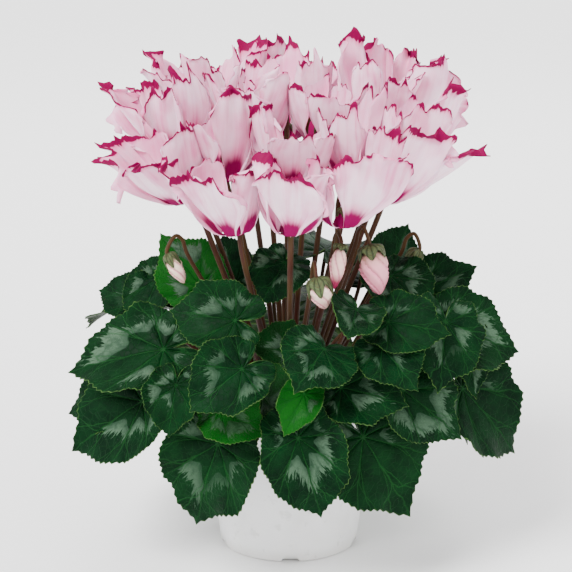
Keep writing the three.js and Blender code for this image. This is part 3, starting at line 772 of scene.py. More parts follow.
@dataclass(frozen=True)
class BudFinish:
    """A furled bud: petal edges wound round it in pink on a pale ground, greener where its cap holds it.

    The spot mark is the share round it and along it. The look mark is a chance number, how pink the bud
    is and how crimson its tip is.
    """

    cream: str = "efd9c0"
    pink: str = "e0759a"
    crimson: str = "8c0040"
    shadow: str = "a04a62"
    green: str = "8f9a58"

    def material(self) -> bpy.types.Material:
        """Builds the bud's material.

        Returns:
            The material.
        """
        s = Shade("bud_finish")
        turn, along, _ = s.mark("spot")
        luck, deep, tip = s.mark("look")
        wound = s.math("FRACT", s.plus(s.times(turn, BUD_FOLDS), s.times(along, BUD_WIND)))
        seam = s.step(wound, 0.0, 0.22, 1.0, 0.0)
        cloud = s.noise(s.join(turn, s.times(along, 2.0), luck), 4.0, 3.0)
        base = s.mix(s.step(deep, 0.0, 1.0, 0.0, 0.75), colour(self.cream), colour(self.pink))
        base = s.mix(s.step(cloud, 0.4, 0.8, 0.0, 0.4), base, colour(self.pink))
        base = s.mix(s.times(seam, 0.55), base, colour(self.pink))
        base = s.mix(s.step(wound, 0.7, 1.0, 0.0, 0.75), base, colour(self.shadow))
        fresh = s.times(s.step(along, 0.0, 0.4, 0.7, 0.0), s.less(1.0, tip))
        base = s.mix(fresh, base, colour(self.green))
        base = s.mix(s.times(s.step(along, 0.46, 0.72), tip), base, colour(self.crimson))
        return s.finish(base, s.step(cloud, 0.2, 0.8, 0.45, 0.6), s.less(1.0, seam), 0.0004)


class StalkKind(Enum):
    """The kinds of stalk, with their two colours."""

    LEAF = ("3c180e", "402f10")
    FLOWER = ("38150b", "422f0e")


@dataclass(frozen=True)
class StalkFinish:
    """A fleshy stalk in brown-red and olive, drawn out along its length, with a fine down."""

    kind: StalkKind

    def material(self) -> bpy.types.Material:
        """Builds the stalk's material.

        Returns:
            The material.
        """
        s = Shade(f"stalk_finish_{self.kind.name.lower()}")
        turn, along, _ = s.mark("spot")
        luck, _, _ = s.mark("look")
        first, second = (colour(code) for code in self.kind.value)
        length = s.times(along, 0.035)
        aside = s.times(s.math("PINGPONG", turn, 0.5), 14.0)
        streak = s.noise(s.join(aside, length, luck), 1.0, 3.0)
        patch = s.noise(s.place(), 45.0, 3.0)
        base = s.mix(s.step(s.plus(streak, s.times(patch, 0.6)), 0.6, 1.05), first, second)
        down = s.noise(s.place(), 1500.0, 2.0)
        height = s.plus(s.times(down, 0.5), streak)
        rough = s.step(patch, 0.3, 0.7, 0.42, 0.6)
        return s.finish(base, rough, height, 0.0003, Sheen_Weight=0.03, Specular_IOR_Level=0.2)


@dataclass(frozen=True)
class SepalFinish:
    """A green sepal with dark ribs along it and a brown edge."""

    green: str = "4a5a38"
    rib: str = "161f12"
    brown: str = "3c2416"

    def material(self) -> bpy.types.Material:
        """Builds the sepals' material.

        Returns:
            The material.
        """
        s = Shade("sepal_finish")
        turn, along, _ = s.mark("spot")
        luck, _, _ = s.mark("look")
        patch = s.noise(s.join(turn, along, luck), 0.8, 3.0)
        wave = s.math("PINGPONG", s.plus(s.times(turn, 3.0), s.times(patch, 0.5)), 0.5)
        base = s.mix(s.step(patch, 0.35, 0.7, 0.0, 0.6), colour(self.green), colour(self.brown))
        base = s.mix(s.step(wave, 0.02, 0.26, 0.75, 0.0), base, colour(self.rib))
        return s.finish(base, s.step(patch, 0.3, 0.7, 0.5, 0.65), wave, 0.0004, Specular_IOR_Level=0.15)


@dataclass(frozen=True)
class TuberFinish:
    """A corky brown skin with fine cracks."""

    bark: str = "4a3222"
    worn: str = "6e5138"
    crack: str = "1f140d"

    def material(self) -> bpy.types.Material:
        """Builds the tuber's material.

        Returns:
            The material.
        """
        s = Shade("tuber_finish")
        place = s.place()
        patch = s.noise(place, 90.0, 5.0)
        crack = s.step(s.cells(place, 140.0), 0.0, 0.08, 1.0, 0.0)
        base = s.mix(s.step(patch, 0.3, 0.7), colour(self.bark), colour(self.worn))
        base = s.mix(s.times(crack, 0.7), base, colour(self.crack))
        return s.finish(base, 0.85, s.less(patch, crack), 0.0012)


@dataclass(frozen=True)
class SoilFinish:
    """Damp potting soil: dark crumbs with paler fibres."""

    dark: str = "1c120c"
    brown: str = "3f2a1c"
    fibre: str = "6d5034"

    def material(self) -> bpy.types.Material:
        """Builds the soil's material.

        Returns:
            The material.
        """
        s = Shade("soil_finish")
        place = s.place()
        crumb = s.noise(place, 260.0, 6.0)
        grain = s.noise(place, 900.0, 3.0)
        base = s.mix(s.step(crumb, 0.35, 0.65), colour(self.dark), colour(self.brown))
        base = s.mix(s.step(grain, 0.62, 0.72, 0.0, 0.8), base, colour(self.fibre))
        return s.finish(base, 0.92, s.plus(crumb, s.times(grain, 0.4)), 0.003)


@dataclass(frozen=True)
class PotFinish:
    """White moulded plastic with a faint grain, scuffs and patches of soil dust, and darker towards the
    bottom.
    """

    white: str = "f1f1f1"
    scuff: str = "cfcfcc"
    dust: str = "a99f92"

    def material(self) -> bpy.types.Material:
        """Builds the pot's material.

        Returns:
            The material.
        """
        s = Shade("pot_finish")
        place = s.place()
        cloud = s.noise(place, 22.0, 4.0)
        base = s.mix(s.step(cloud, 0.35, 0.75, 0.0, 0.35), colour(self.white), colour(self.scuff))
        marks = s.step(s.noise(place, 120.0, 6.0), 0.62, 0.7, 0.0, 0.5)
        base = s.mix(marks, base, colour(self.scuff))
        # Darker towards the bottom: the dust colour is mixed in more strongly over the lowest 12 mm of the
        # pot.
        low = s.step(s.add("ShaderNodeSeparateXYZ", (place,)).outputs[2], 0.0, 0.012, 0.35, 0.0)
        dust_and_darker_base = s.times(s.plus(low, s.step(cloud, 0.55, 0.8, 0.0, 0.12)), 0.8)
        base = s.mix(dust_and_darker_base, base, colour(self.dust))
        grain = s.noise(place, 2600.0, 2.0)
        rough = s.plus(s.step(cloud, 0.3, 0.7, 0.36, 0.5), s.times(marks, 0.2))
        return s.finish(base, rough, grain, 0.00008, Subsurface_Weight=0.05, Subsurface_Scale=0.002)


@dataclass(frozen=True)
class FloorFinish:
    """A plain pale floor."""

    pale: str = "fafafa"
    grey: str = "f6f6f6"

    def material(self) -> bpy.types.Material:
        """Builds the floor's material.

        Returns:
            The material.
        """
        s = Shade("floor_finish")
        grain = s.noise(s.place(), 300.0, 2.0)
        base = s.mix(s.step(grain, 0.3, 0.7, 0.0, 0.3), colour(self.pale), colour(self.grey))
        return s.finish(base, 0.9, grain, 0.00002)


# The pot and what fills it


@dataclass
class Pot:
    """A tapered plastic pot with a rolled rim, a flat base and drain notches round its lower edge."""

    base_radius: float = 50.0
    top_radius: float = 63.0
    height: float = 105.0
    wall: float = 1.8
    floor: float = 2.4
    rim_drop: float = 10.0
    rim_out: float = 2.2
    notches: int = 5
    notch_width: float = 12.0
    notch_height: float = 4.0
    sides: int = 180

    def profile(self) -> Array:
        """The pot's outline, from the middle of its base round the wall and rim to its inner floor.

        Returns:
            The radius and height of each of its points.
        """
        base, top, high, rim = self.base_radius, self.top_radius, self.height, self.height - self.rim_drop
        out, wall, floor = top + self.rim_out, self.wall, self.floor + 1
        outside = profile_line([(base, 2.0), (top - 0.4, rim)], 16)
        inside = profile_line([(top - wall, rim), (base - wall, floor + 2)], 12)
        corners = [(44.0, 0.0), (base - 2.2, 0.0), (base - 1.4, 0.15), (base - 0.5, 0.7), (base - 0.1, 1.4)]
        lip = [(top + 0.6, rim + 0.05), (out - 0.5, rim + 0.3), (out, rim + 0.9), (out, high - 1.6)]
        roll = [(out - 0.25, high - 0.7), (out - 0.9, high - 0.1), (top + 0.6, high), (top - 0.9, high - 0.4)]
        within = [(top - wall + 0.4, high - 2.0)]
        foot = [(base - wall - 0.5, floor + 0.6), (base - wall - 2, floor), (20.0, floor)]
        parts = [[(20.0, 0.0)], corners, outside, lip, roll, within, inside, foot]
        return np.concatenate([np.asarray(part, float) for part in parts])

    def build(self) -> bpy.types.Object:
        """Makes the pot: the profile turned round the axis, with its lower edge lifted at each notch.

        A notch raises the points of the base's edge by its height, times a soft step across its width.

        Returns:
            The pot.
        """
        line = self.profile()
        radius = np.repeat(line[:, :1], self.sides, axis=1)
        height = np.repeat(line[:, 1:], self.sides, axis=1)
        step = FULL_TURN / self.notches
        aside = np.abs(turns(self.sides) % step - step / 2) * self.base_radius
        open_here = 1 - smooth(self.notch_width / 2 - 0.8, self.notch_width / 2 + 0.8, aside)
        edge = smooth(43.5, 45.5, radius) * (height < self.notch_height + 1.6)
        floor = self.floor + 1
        lift = np.where(height < 2.2, self.notch_height - 1.0, floor + 1.4) * open_here[None] * edge
        height = np.where(edge > 0, np.maximum(height, lift), height)
        body = revolve(radius, height, np.zeros(3), UP, np.array([0.5, 0.0, 1.0]))
        made = body.make("white_pot", PotFinish().material())
        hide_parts("pot")
        return made


@dataclass
class Soil:
    """Potting soil: a filling with a lumpy top, and loose crumbs that lie on it."""

    top: float = 90.0
    radius: float = 60.0
    low_radius: float = 47.8
    low: float = 3.9
    crumbs: int = 420
    sides: int = 120

    def filling(self) -> Body:
        """The body of the soil, turned round the axis. Its top rises and falls in lumps of 16 and 6 mm.

        Returns:
            The filling.
        """
        rim = profile_line([(self.low_radius, self.low), (self.radius - 1.2, self.top - 4)], 6)
        shoulder = [(self.radius - 0.6, self.top - 2), (self.radius - 4, self.top), (3.0, self.top)]
        over = profile_line(shoulder, 16)
        line = np.concatenate([[(20.0, self.low)], rim, over])
        radius = np.repeat(line[:, :1], self.sides, axis=1)
        height = np.repeat(line[:, 1:], self.sides, axis=1)
        turn = turns(self.sides)
        flat = np.stack([radius * np.cos(turn), radius * np.sin(turn), height], axis=-1).reshape(-1, 3)
        bumps = (1.1 * lumps(flat, 16.0, 3) + 0.7 * lumps(flat, 6.0, 5)).reshape(radius.shape)
        height = height + bumps * smooth(self.top - 3, self.top, height)
        return revolve(radius, height, np.zeros(3), UP, np.array([0.3, 0.0, 1.0]))

    def loose(self) -> Body:
        """Crumbs: eight-sided grains, each stretched and laid by its own chance numbers.

        Returns:
            All the crumbs.
        """
        keys = np.arange(self.crumbs) + 900
        turn = 6.283 * chance(keys)
        reach = 30 + 26 * np.sqrt(chance(keys + 1000))
        size = 0.7 + 1.8 * chance(keys + 2000) ** 2
        corners = np.array([[1, 0, 0], [0, 1, 0], [-1, 0, 0], [0, -1, 0], [0, 0, 1], [0, 0, -1]], float)
        upper = [[0, 1, 4], [1, 2, 4], [2, 3, 4], [3, 0, 4]]
        lower = [[1, 0, 5], [2, 1, 5], [3, 2, 5], [0, 3, 5]]
        sides = np.array(upper + lower)
        stretch = 0.6 + 0.8 * chance(keys[:, None] * 7 + np.arange(18)).reshape(-1, 6, 3)
        place = np.stack([reach * np.cos(turn), reach * np.sin(turn), self.top + 0.8 + 0 * turn], axis=1)
        points = (corners[None] * stretch * size[:, None, None] + place[:, None]).reshape(-1, 3)
        faces = (sides[None] + 6 * np.arange(self.crumbs)[:, None, None]).reshape(-1, 3)
        return Body(points, [faces], points * 0, np.tile([0.6, 0.0, 1.0], (len(points), 1)))

    def build(self) -> bpy.types.Object:
        """Makes the soil.

        Returns:
            The soil.
        """
        made = Body.joined([self.filling(), self.loose()]).make("potting_soil", SoilFinish().material())
        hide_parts("soil")
        return made


@dataclass
class Tuber:
    """The flat globe that every stalk grows from."""

    radius: float = 30.0
    half_height: float = 17.0
    centre: float = 86.0
    rows: int = 40
    sides: int = 96

    def height_at(self, radius: float) -> float:
        """The height of its skin at a distance from the axis."""
        return self.centre + self.half_height * math.sqrt(1 - (radius / self.radius) ** 2)

    def build(self) -> bpy.types.Object:
        """Makes the tuber: a flattened globe whose skin is pushed in and out by lumps of 14 and 5 mm.

        Returns:
            The tuber.
        """
        down = np.linspace(0.06, math.pi - 0.06, self.rows)[::-1, None] + np.zeros((1, self.sides))
        radius, height = self.radius * np.sin(down), self.centre + self.half_height * np.cos(down)
        turn = turns(self.sides)
        flat = np.stack([radius * np.cos(turn), radius * np.sin(turn), height], axis=-1).reshape(-1, 3)
        push = (0.8 * lumps(flat, 14.0, 11) + 0.4 * lumps(flat, 5.0, 12)).reshape(radius.shape)
        body = revolve(radius * (1 + push / self.radius), height, np.zeros(3), UP, np.array([0.2, 0.0, 1.0]))
        made = body.make("tuber", TuberFinish().material())
        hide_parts("tuber_and_stalks")
        return made


# Leaves

# The distance from a leaf's stalk to its tip, as a share of its length
TIP_REACH = 0.81

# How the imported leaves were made, in millimetres: the step in which they were shifted, half their thickness,
# their stalks' radius, and how near a corner lies to where it is looked for
SHIFT_STEP = 3.0
PACKED_HALF_THICKNESS = 0.4
PACKED_STALK_RADIUS = 1.6
NEAR = 0.06


@dataclass
class Route:
    """A way for a leaf's stalk to reach its blade: its tilt on arrival, its rise and its swing."""

    arrival: float
    lift: float
    swing: float

    @staticmethod
    def every() -> list["Route"]:
        """Every way a stalk may take.

        Returns:
            The routes, the straightest first.
        """
        ways = product((20, 45, 70, 88), (0, -9, 9, 18), (0, 12, -12, 24, -24, 36, -36))
        found = [Route(*way) for way in ways]
        return sorted(found, key=lambda r: r.arrival / 3 + abs(r.lift) + abs(r.swing))


@dataclass
class Leaf:
    """A heart-shaped leaf. Sizes are in millimetres and degrees.

    From these it works out its origin, its length, its own axes t (to the tip), n (up) and s (aside),
    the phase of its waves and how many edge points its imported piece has.

    Args:
        node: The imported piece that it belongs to.
        at: Where its stalk meets it.
        tip: Its point.
        cup: How far its two sides bend up.
        droop: How far its length bends down.
        width: Its breadth, against the usual.
        lean: How far it is turned about its length.
        rear: Whether it belongs to the far side.
        seed: Its own number.
        youth: From 0 for a dark leaf to 1 for a fresh green one.
        place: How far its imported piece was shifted.
        rings: The shares from stalk to edge at which its blade has points.
        columns: The number of points round its edge.
        thickness: Its thickness.
    """

    node: str
    at: Triple
    tip: Triple
    cup: float
    droop: float
    width: float
    lean: float = 0.0
    rear: bool = False
    seed: int = 0
    youth: float = 0.0
    place: Array = field(default_factory=lambda: np.zeros(3))
    rings: tuple[float, ...] = (0.06, 0.15, 0.25, 0.35, 0.45, 0.55, 0.65, 0.75, 0.84, 0.92, 0.97, 1.0)
    columns: int = 128
    thickness: float = 0.6
    origin: Array = field(init=False)
    length: float = field(init=False)
    t: Array = field(init=False)
    n: Array = field(init=False)
    s: Array = field(init=False)
    wave: float = field(init=False)
    edge_points: int = field(init=False)

    def __post_init__(self) -> None:
        """Works out the leaf's axes. Its chord runs from stalk to tip, and its face looks out and up."""
        start, end = np.array(self.at, float), np.array(self.tip, float)
        chord = end - start
        span = float(np.linalg.norm(chord))
        along = chord / span
        outward = unit(np.array([start[0], start[1], 0.0]))
        if self.rear:
            face = 0.75 * UP + 0.65 * outward
        else:
            face = 0.6 * UP + 0.4 * outward + np.array([0.0, -0.55, 0.0])
        face = unit(face - (face @ along) * along)
        turn = math.radians(self.lean)
        face = face * math.cos(turn) + np.cross(along, face) * math.sin(turn)
        half = math.radians(self.droop) / 2
        self.origin = start
        self.length = span * half / math.sin(half) / TIP_REACH
        self.t = along * math.cos(half) + face * math.sin(half)
        self.n = face * math.cos(half) - along * math.sin(half)
        self.s = np.cross(self.n, self.t)
        self.wave = 6.28 * float(chance(self.seed + 70))
        self.edge_points = 10 if self.rear else 12 if self.length < 50 else 14

    @staticmethod
    def outline(theta: Array) -> Array:
        """The distance from stalk to edge.

        It is a circle that holds the stalk off its middle, plus a point at the tip and a lobe on each
        side, times a notch behind the stalk.

        Args:
            theta: The turn round from the tip.

        Returns:
            The distance as a share of the length.
        """
        turn = np.abs(np.where(theta > np.pi, theta - FULL_TURN, theta))
        round_part = 0.17 * np.cos(turn) + np.sqrt(0.21 - (0.17 * np.sin(turn)) ** 2)
        point = 0.185 * np.exp(-turn / 0.24)
        lobe = 0.08 * np.exp(-(((turn - 2.5) / 0.45) ** 2))
        notch = 1 - 0.85 * np.exp(-(((np.pi - turn) / 0.22) ** 2))
        return (round_part + point + lobe) * notch

    def bent(self, rho: Array, theta: Array, reach: Array, lift: Array) -> Array:
        """Lays the flat leaf onto its bent form.

        Its breadth rolls up on a cylinder along its length, and its length rolls down on one across it.

        Args:
            rho: The share from stalk to edge.
            theta: The turn round from the tip.
            reach: The distance from the stalk.
            lift: Added height above the sheet.

        Returns:
            Places in millimetres.
        """
        side, forward = reach * np.sin(theta) * self.width, reach * np.cos(theta)
        ripple = 0.03 * self.length * rho * rho * np.sin(3 * theta + self.wave) + lift
        cup = math.radians(self.cup) / (0.5 * self.length)
        rise = ripple + (1 - np.cos(cup * side)) / cup
        droop = math.radians(self.droop) / (TIP_REACH * self.length)
        radius = 1 / droop + rise
        across = np.sin(cup * side) / cup
        ahead = radius * np.sin(droop * forward)
        height = radius * np.cos(droop * forward) - 1 / droop
        axes = np.stack([self.s, self.t, self.n])
        return self.origin + self.place + np.stack([across, ahead, height], axis=-1) @ axes

    def packed_corners(self) -> Array:
        """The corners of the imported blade, before any shift: two rings round the stalk, thickened.

        Returns:
            The corners of its upper and then of its lower skin.
        """
        count = self.edge_points
        theta = turns(count)
        rings = []
        for rho in (0.55, 1.0):
            tooth = 1 + (0.03 * np.cos(0.5 * count * theta) if rho > 0.99 else 0)
            reach = rho * self.length * self.outline(theta) * tooth
            rings.append(self.bent(np.full(count, rho), theta, reach, 0 * theta))
        points = np.concatenate([self.origin[None], *rings])
        a, b = 1 + np.arange(count), 1 + (1 + np.arange(count)) % count
        fan = np.stack([0 * a, b, a], axis=1)
        near_half = np.stack([a, b, b + count], axis=1)
        far_half = np.stack([a, b + count, a + count], axis=1)
        push = PACKED_HALF_THICKNESS * point_normals(points, [fan, near_half, far_half])
        return np.concatenate([points + push, points - push])

    def find_place(self, packed: Array) -> int:
        """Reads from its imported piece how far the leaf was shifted.

        Every packed corner is tried as the leaf's first one. The shift under which most corners meet wins.

        Args:
            packed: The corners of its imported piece.

        Returns:
            How many corners meet.
        """
        corners = self.packed_corners()
        shifts = np.unique(np.round((packed - corners[0]) / SHIFT_STEP) * SHIFT_STEP, axis=0)
        near = np.abs((packed - corners[0])[:, None] - shifts[None]).max(axis=2).min(axis=0) < NEAR
        shifts = shifts[near]
        if not len(shifts):
            return 0
        moved = corners[None] + shifts[:, None]
        gaps = np.linalg.norm(moved[:, :, None] - packed[None, None], axis=3).min(axis=2)
        votes = (gaps < NEAR).sum(axis=1)
        self.place = shifts[votes.argmax()]
        return int(votes.max())

    def blade(self) -> Body:
        """The blade as a closed shell.

        Its edge has a tooth at every second column, a shallow lobe beside each main vein and two sine
        waves. Its surface puffs up between the veins, and curls near the edge in eight waves round and
        in seventeen finer ones.

        Returns:
            The shell.
        """
        columns = self.columns
        theta, rho = np.broadcast_arrays(turns(columns)[None], np.array(self.rings)[:, None])
        teeth = 1 + 0.016 * np.cos(np.pi * np.arange(columns))[None] * rho**30
        lobes = 0.04 * (0.5 - np.abs(np.sin(4.5 * theta)))
        wander = 0.022 * np.sin(7 * theta + 3 * self.wave) + 0.014 * np.sin(13 * theta + self.wave)
        jag = 1 + (lobes + wander) * rho**3
        reach = rho * self.length * self.outline(theta) * teeth * jag
        puff = 0.02 * self.length * (np.abs(np.sin(4.5 * theta)) ** 0.7 - 0.6) * 4 * rho * (1 - rho)
        curl = 0.022 * self.length * rho**4 * np.sin(8 * theta + 2 * self.wave)
        fine = 0.01 * self.length * rho**8 * np.sin(17 * theta + 5 * self.wave)
        skin = self.bent(rho, theta, reach, puff + curl + fine).reshape(-1, 3)
        none = np.zeros(1)
        points = np.concatenate([skin, self.bent(none, none, none, none)])
        share = reach / self.length
        flat = np.stack([share * np.sin(theta), share * np.cos(theta), rho], axis=-1)
        spot = np.concatenate([flat.reshape(-1, 3), np.zeros((1, 3))])
        rows, pole = len(self.rings), len(points) - 1
        i = np.arange(columns)
        quads = grid_faces(rows, columns, True)[:, ::-1]
        fan = np.stack([np.full(columns, pole), i, (i + 1) % columns], axis=1)
        loop = (rows - 1) * columns + i
        look = np.tile([float(chance(self.seed + 7)), self.youth, 1.0], (len(points), 1))
        return thicken(points, [quads, fan], loop, self.thickness, spot, look)

    def stalk_corners(self, route: Route) -> Array:
        """The four points of the cubic curve that the stalk follows on a route.

        Args:
            route: The route.

        Returns:
            The points, from tuber to blade.
        """
        at = self.origin + self.place
        bearing, tilt = math.atan2(at[1], at[0]), math.radians(route.arrival)
        arrival = self.n * math.cos(tilt) + self.t * math.sin(tilt)
        end = at - self.n * (0.75 + 1.6 * math.sin(tilt))
        root = 12 + 8 * float(chance(self.seed))
        start = np.array([root * math.cos(bearing), root * math.sin(bearing), Tuber().height_at(root) - 3])
        reach = float(np.linalg.norm(end - start))
        turned = bearing + math.radians(route.swing)
        lift = 0.3 * reach + route.lift
        first = start + np.array([0.25 * reach * math.cos(turned), 0.25 * reach * math.sin(turned), lift])
        return np.stack([start, first, end - arrival * 0.3 * reach, end])

    @staticmethod
    def cubic(corners: Array, count: int) -> Array:
        """Points of a cubic curve, evenly spaced in its parameter.

        Args:
            corners: Its four points.
            count: How many points to give.

        Returns:
            The points.
        """
        t = np.linspace(0, 1, count)[:, None]
        a, b, c, d = corners
        return a * (1 - t) ** 3 + 3 * b * (1 - t) ** 2 * t + 3 * c * (1 - t) * t**2 + d * t**3

    def find_route(self, packed: Array) -> tuple[Route, int]:
        """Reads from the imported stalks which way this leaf's stalk went.

        On the right route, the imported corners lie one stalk's radius from the curve at each third of
        its length, square to it.

        Args:
            packed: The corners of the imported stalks.

        Returns:
            The route and how many corners fit it.
        """
        routes = Route.every()
        count = 201
        stations, ways = [], []
        for route in routes:
            line = self.cubic(self.stalk_corners(route), count)
            along = np.concatenate([[0], np.cumsum(np.linalg.norm(np.diff(line, axis=0), axis=1))])
            spots = np.interp(np.array([1, 2, 3]) / 3 * along[-1], along, np.arange(count))
            low = np.minimum(spots.astype(int), count - 2)
            stations.append(line[low] + (line[low + 1] - line[low]) * (spots - low)[:, None])
            ways.append(unit(line[low + 1] - line[low]))
        far = packed[None, None] - np.array(stations)[:, :, None]
        square = np.abs(np.einsum("rsvk,rsk->rsv", far, np.array(ways))) < 2 * NEAR
        on_ring = np.abs(np.linalg.norm(far, axis=3) - PACKED_STALK_RADIUS) < 2 * NEAR
        fits = np.minimum((square & on_ring).sum(axis=2), 4).sum(axis=1)
        best = int(fits.argmax())
        return routes[best], int(fits[best])

    def stalk(self, route: Route) -> Body:
        """The stalk as a tube on the cubic curve, thicker at its root, which meets the blade's underside.

        Args:
            route: The route that it takes.

        Returns:
            The tube.
        """
        corners = self.stalk_corners(route)
        path = self.cubic(corners, 30)
        path = np.concatenate([path, [self.origin + self.place - 0.15 * self.n]])
        share = np.linspace(0, 1, len(path))
        radii = 1.75 - 0.35 * share + 0.5 * np.exp(-share / 0.04)
        bearing = math.atan2(path[-1][1], path[-1][0])
        side_way = np.array([-math.sin(bearing), math.cos(bearing), 0.0])
        return tube(path, radii, 10, side_way, np.array([float(chance(self.seed + 3)), 0.0, 1.0]))


# Leaves of the show side: piece, stalk's end, tip, cup, droop, width and, where it isn't 0, lean
SHOW_LEAVES = (
    ("leaf_left_back", (-38, 28, 187), (-49, 44, 219), 25, 15, 0.95),
    ("leaves_right_back", (70, 8, 199), (86, 28, 230), 20, 15, 1.0),
    ("leaves_right_back", (97, 0, 187), (133, 14, 200), 20, 30, 1.0),
    ("leaves_left_far", (-105, 5, 178), (-138, 18, 184), 20, 30, 1.0),
    ("leaves_middle", (2, -72, 163), (-26, -92, 176), 25, 20, 1.05),
    ("leaves_middle", (-18, -93, 141), (6, -118, 155), 25, 20, 1.0),
    ("leaves_left_low", (-118, -50, 124), (-155, -30, 106), 15, 25, 1.0),
    ("leaves_left_low", (-101, -72, 128), (-150, -56, 87), 25, 20, 1.0),
    ("leaf_left_large", (-86, -68, 165), (-154, -58, 147), 25, 15, 0.88, 12),
    ("leaves_left_far", (-93, -20, 201), (-107, -44, 168), 40, 25, 0.95),
    ("leaf_left_upright", (-62, -20, 197), (-89, 2, 227), 20, 15, 1.0),
    ("leaf_left_small", (-76, -100, 150), (-81, -114, 118), 42, 15, 1.1),
    ("leaf_low_edge", (-46, -105, 134), (-15, -128, 125), 25, 20, 1.0),
    ("leaf_front_left", (-45, -108, 115), (-62, -98, 52), 25, 22, 0.95),
    ("leaf_front_right", (50, -106, 115), (81, -104, 60), 15, 22, 1.1),
    ("leaf_front_middle", (6, -118, 122), (22, -122, 66), 35, 22, 0.92),
    ("leaf_right_low_2", (121, -50, 131), (163, -35, 78), 30, 15, 0.95),
    ("leaf_right_low", (77, -92, 144), (115, -85, 108), 20, 25, 1.0),
    ("leaf_right_dark", (107, -68, 185), (100, -95, 144), 25, 25, 1.0),
    ("leaves_right_large", (105, -50, 180), (157, -38, 160), 25, 28, 0.98),
    ("leaves_right_large", (125, -62, 169), (132, -76, 131), 50, 15, 0.8),
    ("leaf_middle_right", (35, -112, 150), (79, -119, 140), 25, 25, 1.0),
    ("leaf_right_round", (62, -100, 176), (85, -119, 153), 15, 25, 1.1),
    ("leaf_right_wavy", (67, -80, 191), (107, -87, 184), 25, 30, 1.0),
    ("leaf_right_upper", (70, -42, 210), (97, -63, 186), 20, 25, 1.05),
    ("leaf_middle_heart", (23, -115, 180), (4, -145, 160), 10, 35, 1.15),
    ("leaf_middle_bowl", (42, -88, 201), (36, -118, 190), 45, 10, 1.15),
    ("leaf_left_bowl", (-31, -124, 169), (-65, -139, 145), 30, 15, 1.12),
    ("leaf_left_shield", (-36, -92, 193), (-81, -79, 196), 25, 20, 1.0),
    ("leaf_middle_upper", (-6, -58, 215), (-22, -82, 192), 20, 30, 1.0),
    ("leaf_middle_young", (10, -125, 152), (-3, -143, 130), 50, 10, 0.9),
)

# How young the fresh leaves are
FRESH = {"leaf_left_upright": 1.0, "leaf_low_edge": 0.9, "leaf_middle_young": 1.0, "leaves_middle": 0.35}


@dataclass
class Tier:
    """A tier of far-side leaves, evenly spread between two bearings.

    Args:
        name: The tier's name.
        count: How many leaves it has.
        start: The first leaf's bearing in degrees from the show side.
        end: The last leaf's bearing.
        at: The distance from the axis and the height of the stalks' ends.
        tip: The same of the leaves' tips.
        width: The leaves' breadth, against the usual.
        cup: How far their sides bend up.
        droop: How far their length bends down.
    """

    name: str
    count: int
    start: float
    end: float
    at: tuple[float, float]
    tip: tuple[float, float]
    width: float
    cup: float = 24.0
    droop: float = 28.0

    def leaves(self, made: int) -> list[Leaf]:
        """The tier's leaves. Each is turned, dropped and leant a little by its own chance numbers.

        Args:
            made: How many far-side leaves there already are.

        Returns:
            The new leaves, in order.
        """
        found = []
        for i in range(self.count):
            key = made + i + 40
            spread = self.start + (self.end - self.start) * i / (self.count - 1)
            bearing = math.radians(spread + 8 * (chance(key) - 0.5) - 90)
            aside = bearing + math.radians(16 * (chance(key + 100) - 0.5))
            drop = 12 * (chance(key + 200) - 0.5)
            ends = []
            for (reach, height), turn in ((self.at, bearing), (self.tip, aside)):
                ends.append((reach * math.cos(turn), reach * math.sin(turn), height + drop))
            alone = i % 2 == 0 and i == self.count - 1
            node = f"{'leaf' if alone else 'leaves'}_{self.name}_{i // 2 + 1}"
            lean = 24 * (chance(key + 300) - 0.5)
            seed = len(SHOW_LEAVES) + made + i + 1
            found.append(Leaf(node, ends[0], ends[1], self.cup, self.droop, self.width, lean, True, seed))
        return found


@dataclass
class Foliage:
    """Every leaf and its stalk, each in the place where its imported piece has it."""

    tiers: tuple[Tier, ...] = (
        Tier("rear_low", 5, 112, 252, (98, 126), (140, 62), 1.2),
        Tier("rear_mid", 5, 98, 262, (88, 171), (146, 143), 1.15),
        Tier("rear_high", 4, 112, 240, (60, 198), (116, 190), 1.1),
    )

    def leaves(self) -> list[Leaf]:
        """All the leaves.

        Returns:
            The leaves, in the order in which the part grows them.
        """
        found = []
        for i, row in enumerate(SHOW_LEAVES):
            leaf = Leaf(*row[:6], lean=row[6] if len(row) > 6 else 0.0, seed=i + 1)
            leaf.youth = FRESH.get(leaf.node, 0.12 * float(chance(i + 300)))
            found.append(leaf)
        rear: list[Leaf] = []
        for tier in self.tiers:
            rear += tier.leaves(len(rear))
        return found + rear

    def build(self) -> list[bpy.types.Object]:
        """Makes one piece for each packed blade or pair of blades, and one of all the leaf stalks.

        Returns:
            The pieces.
        """
        finish = LeafFinish().material()
        stalk_corners = node_corners("tuber_and_stalks")
        blades: dict[str, list[Body]] = {}
        stalks = []
        for leaf in self.leaves():
            votes = leaf.find_place(node_corners(leaf.node))
            route, fits = leaf.find_route(stalk_corners)
            LOG.info("%s shift %s by %d corners, %s by %d", leaf.node, leaf.place, votes, route, fits)
            blades.setdefault(leaf.node, []).append(leaf.blade())
            stalks.append(leaf.stalk(route))
        made = []
        for node, bodies in blades.items():
            piece = Body.joined(bodies).make(f"dressed_{node}", finish)
            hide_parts(node)
            made.append(piece)
        stems = Body.joined(stalks).make("leaf_stalks", StalkFinish(StalkKind.LEAF).material())
        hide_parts("tuber_and_stalks")
        return [*made, stems]


def node_corners(node: str) -> Array:
    """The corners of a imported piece.

    Args:
        node: The piece's name.

    Returns:
        Its corners in millimetres, each once.
    """
    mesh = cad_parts[node].data
    corners = np.zeros(len(mesh.vertices) * 3, np.float32)
    mesh.vertices.foreach_get("co", corners)
    return np.unique(np.round(corners.reshape(-1, 3).astype(float) / METRES, 4), axis=0)


# Blooms and buds

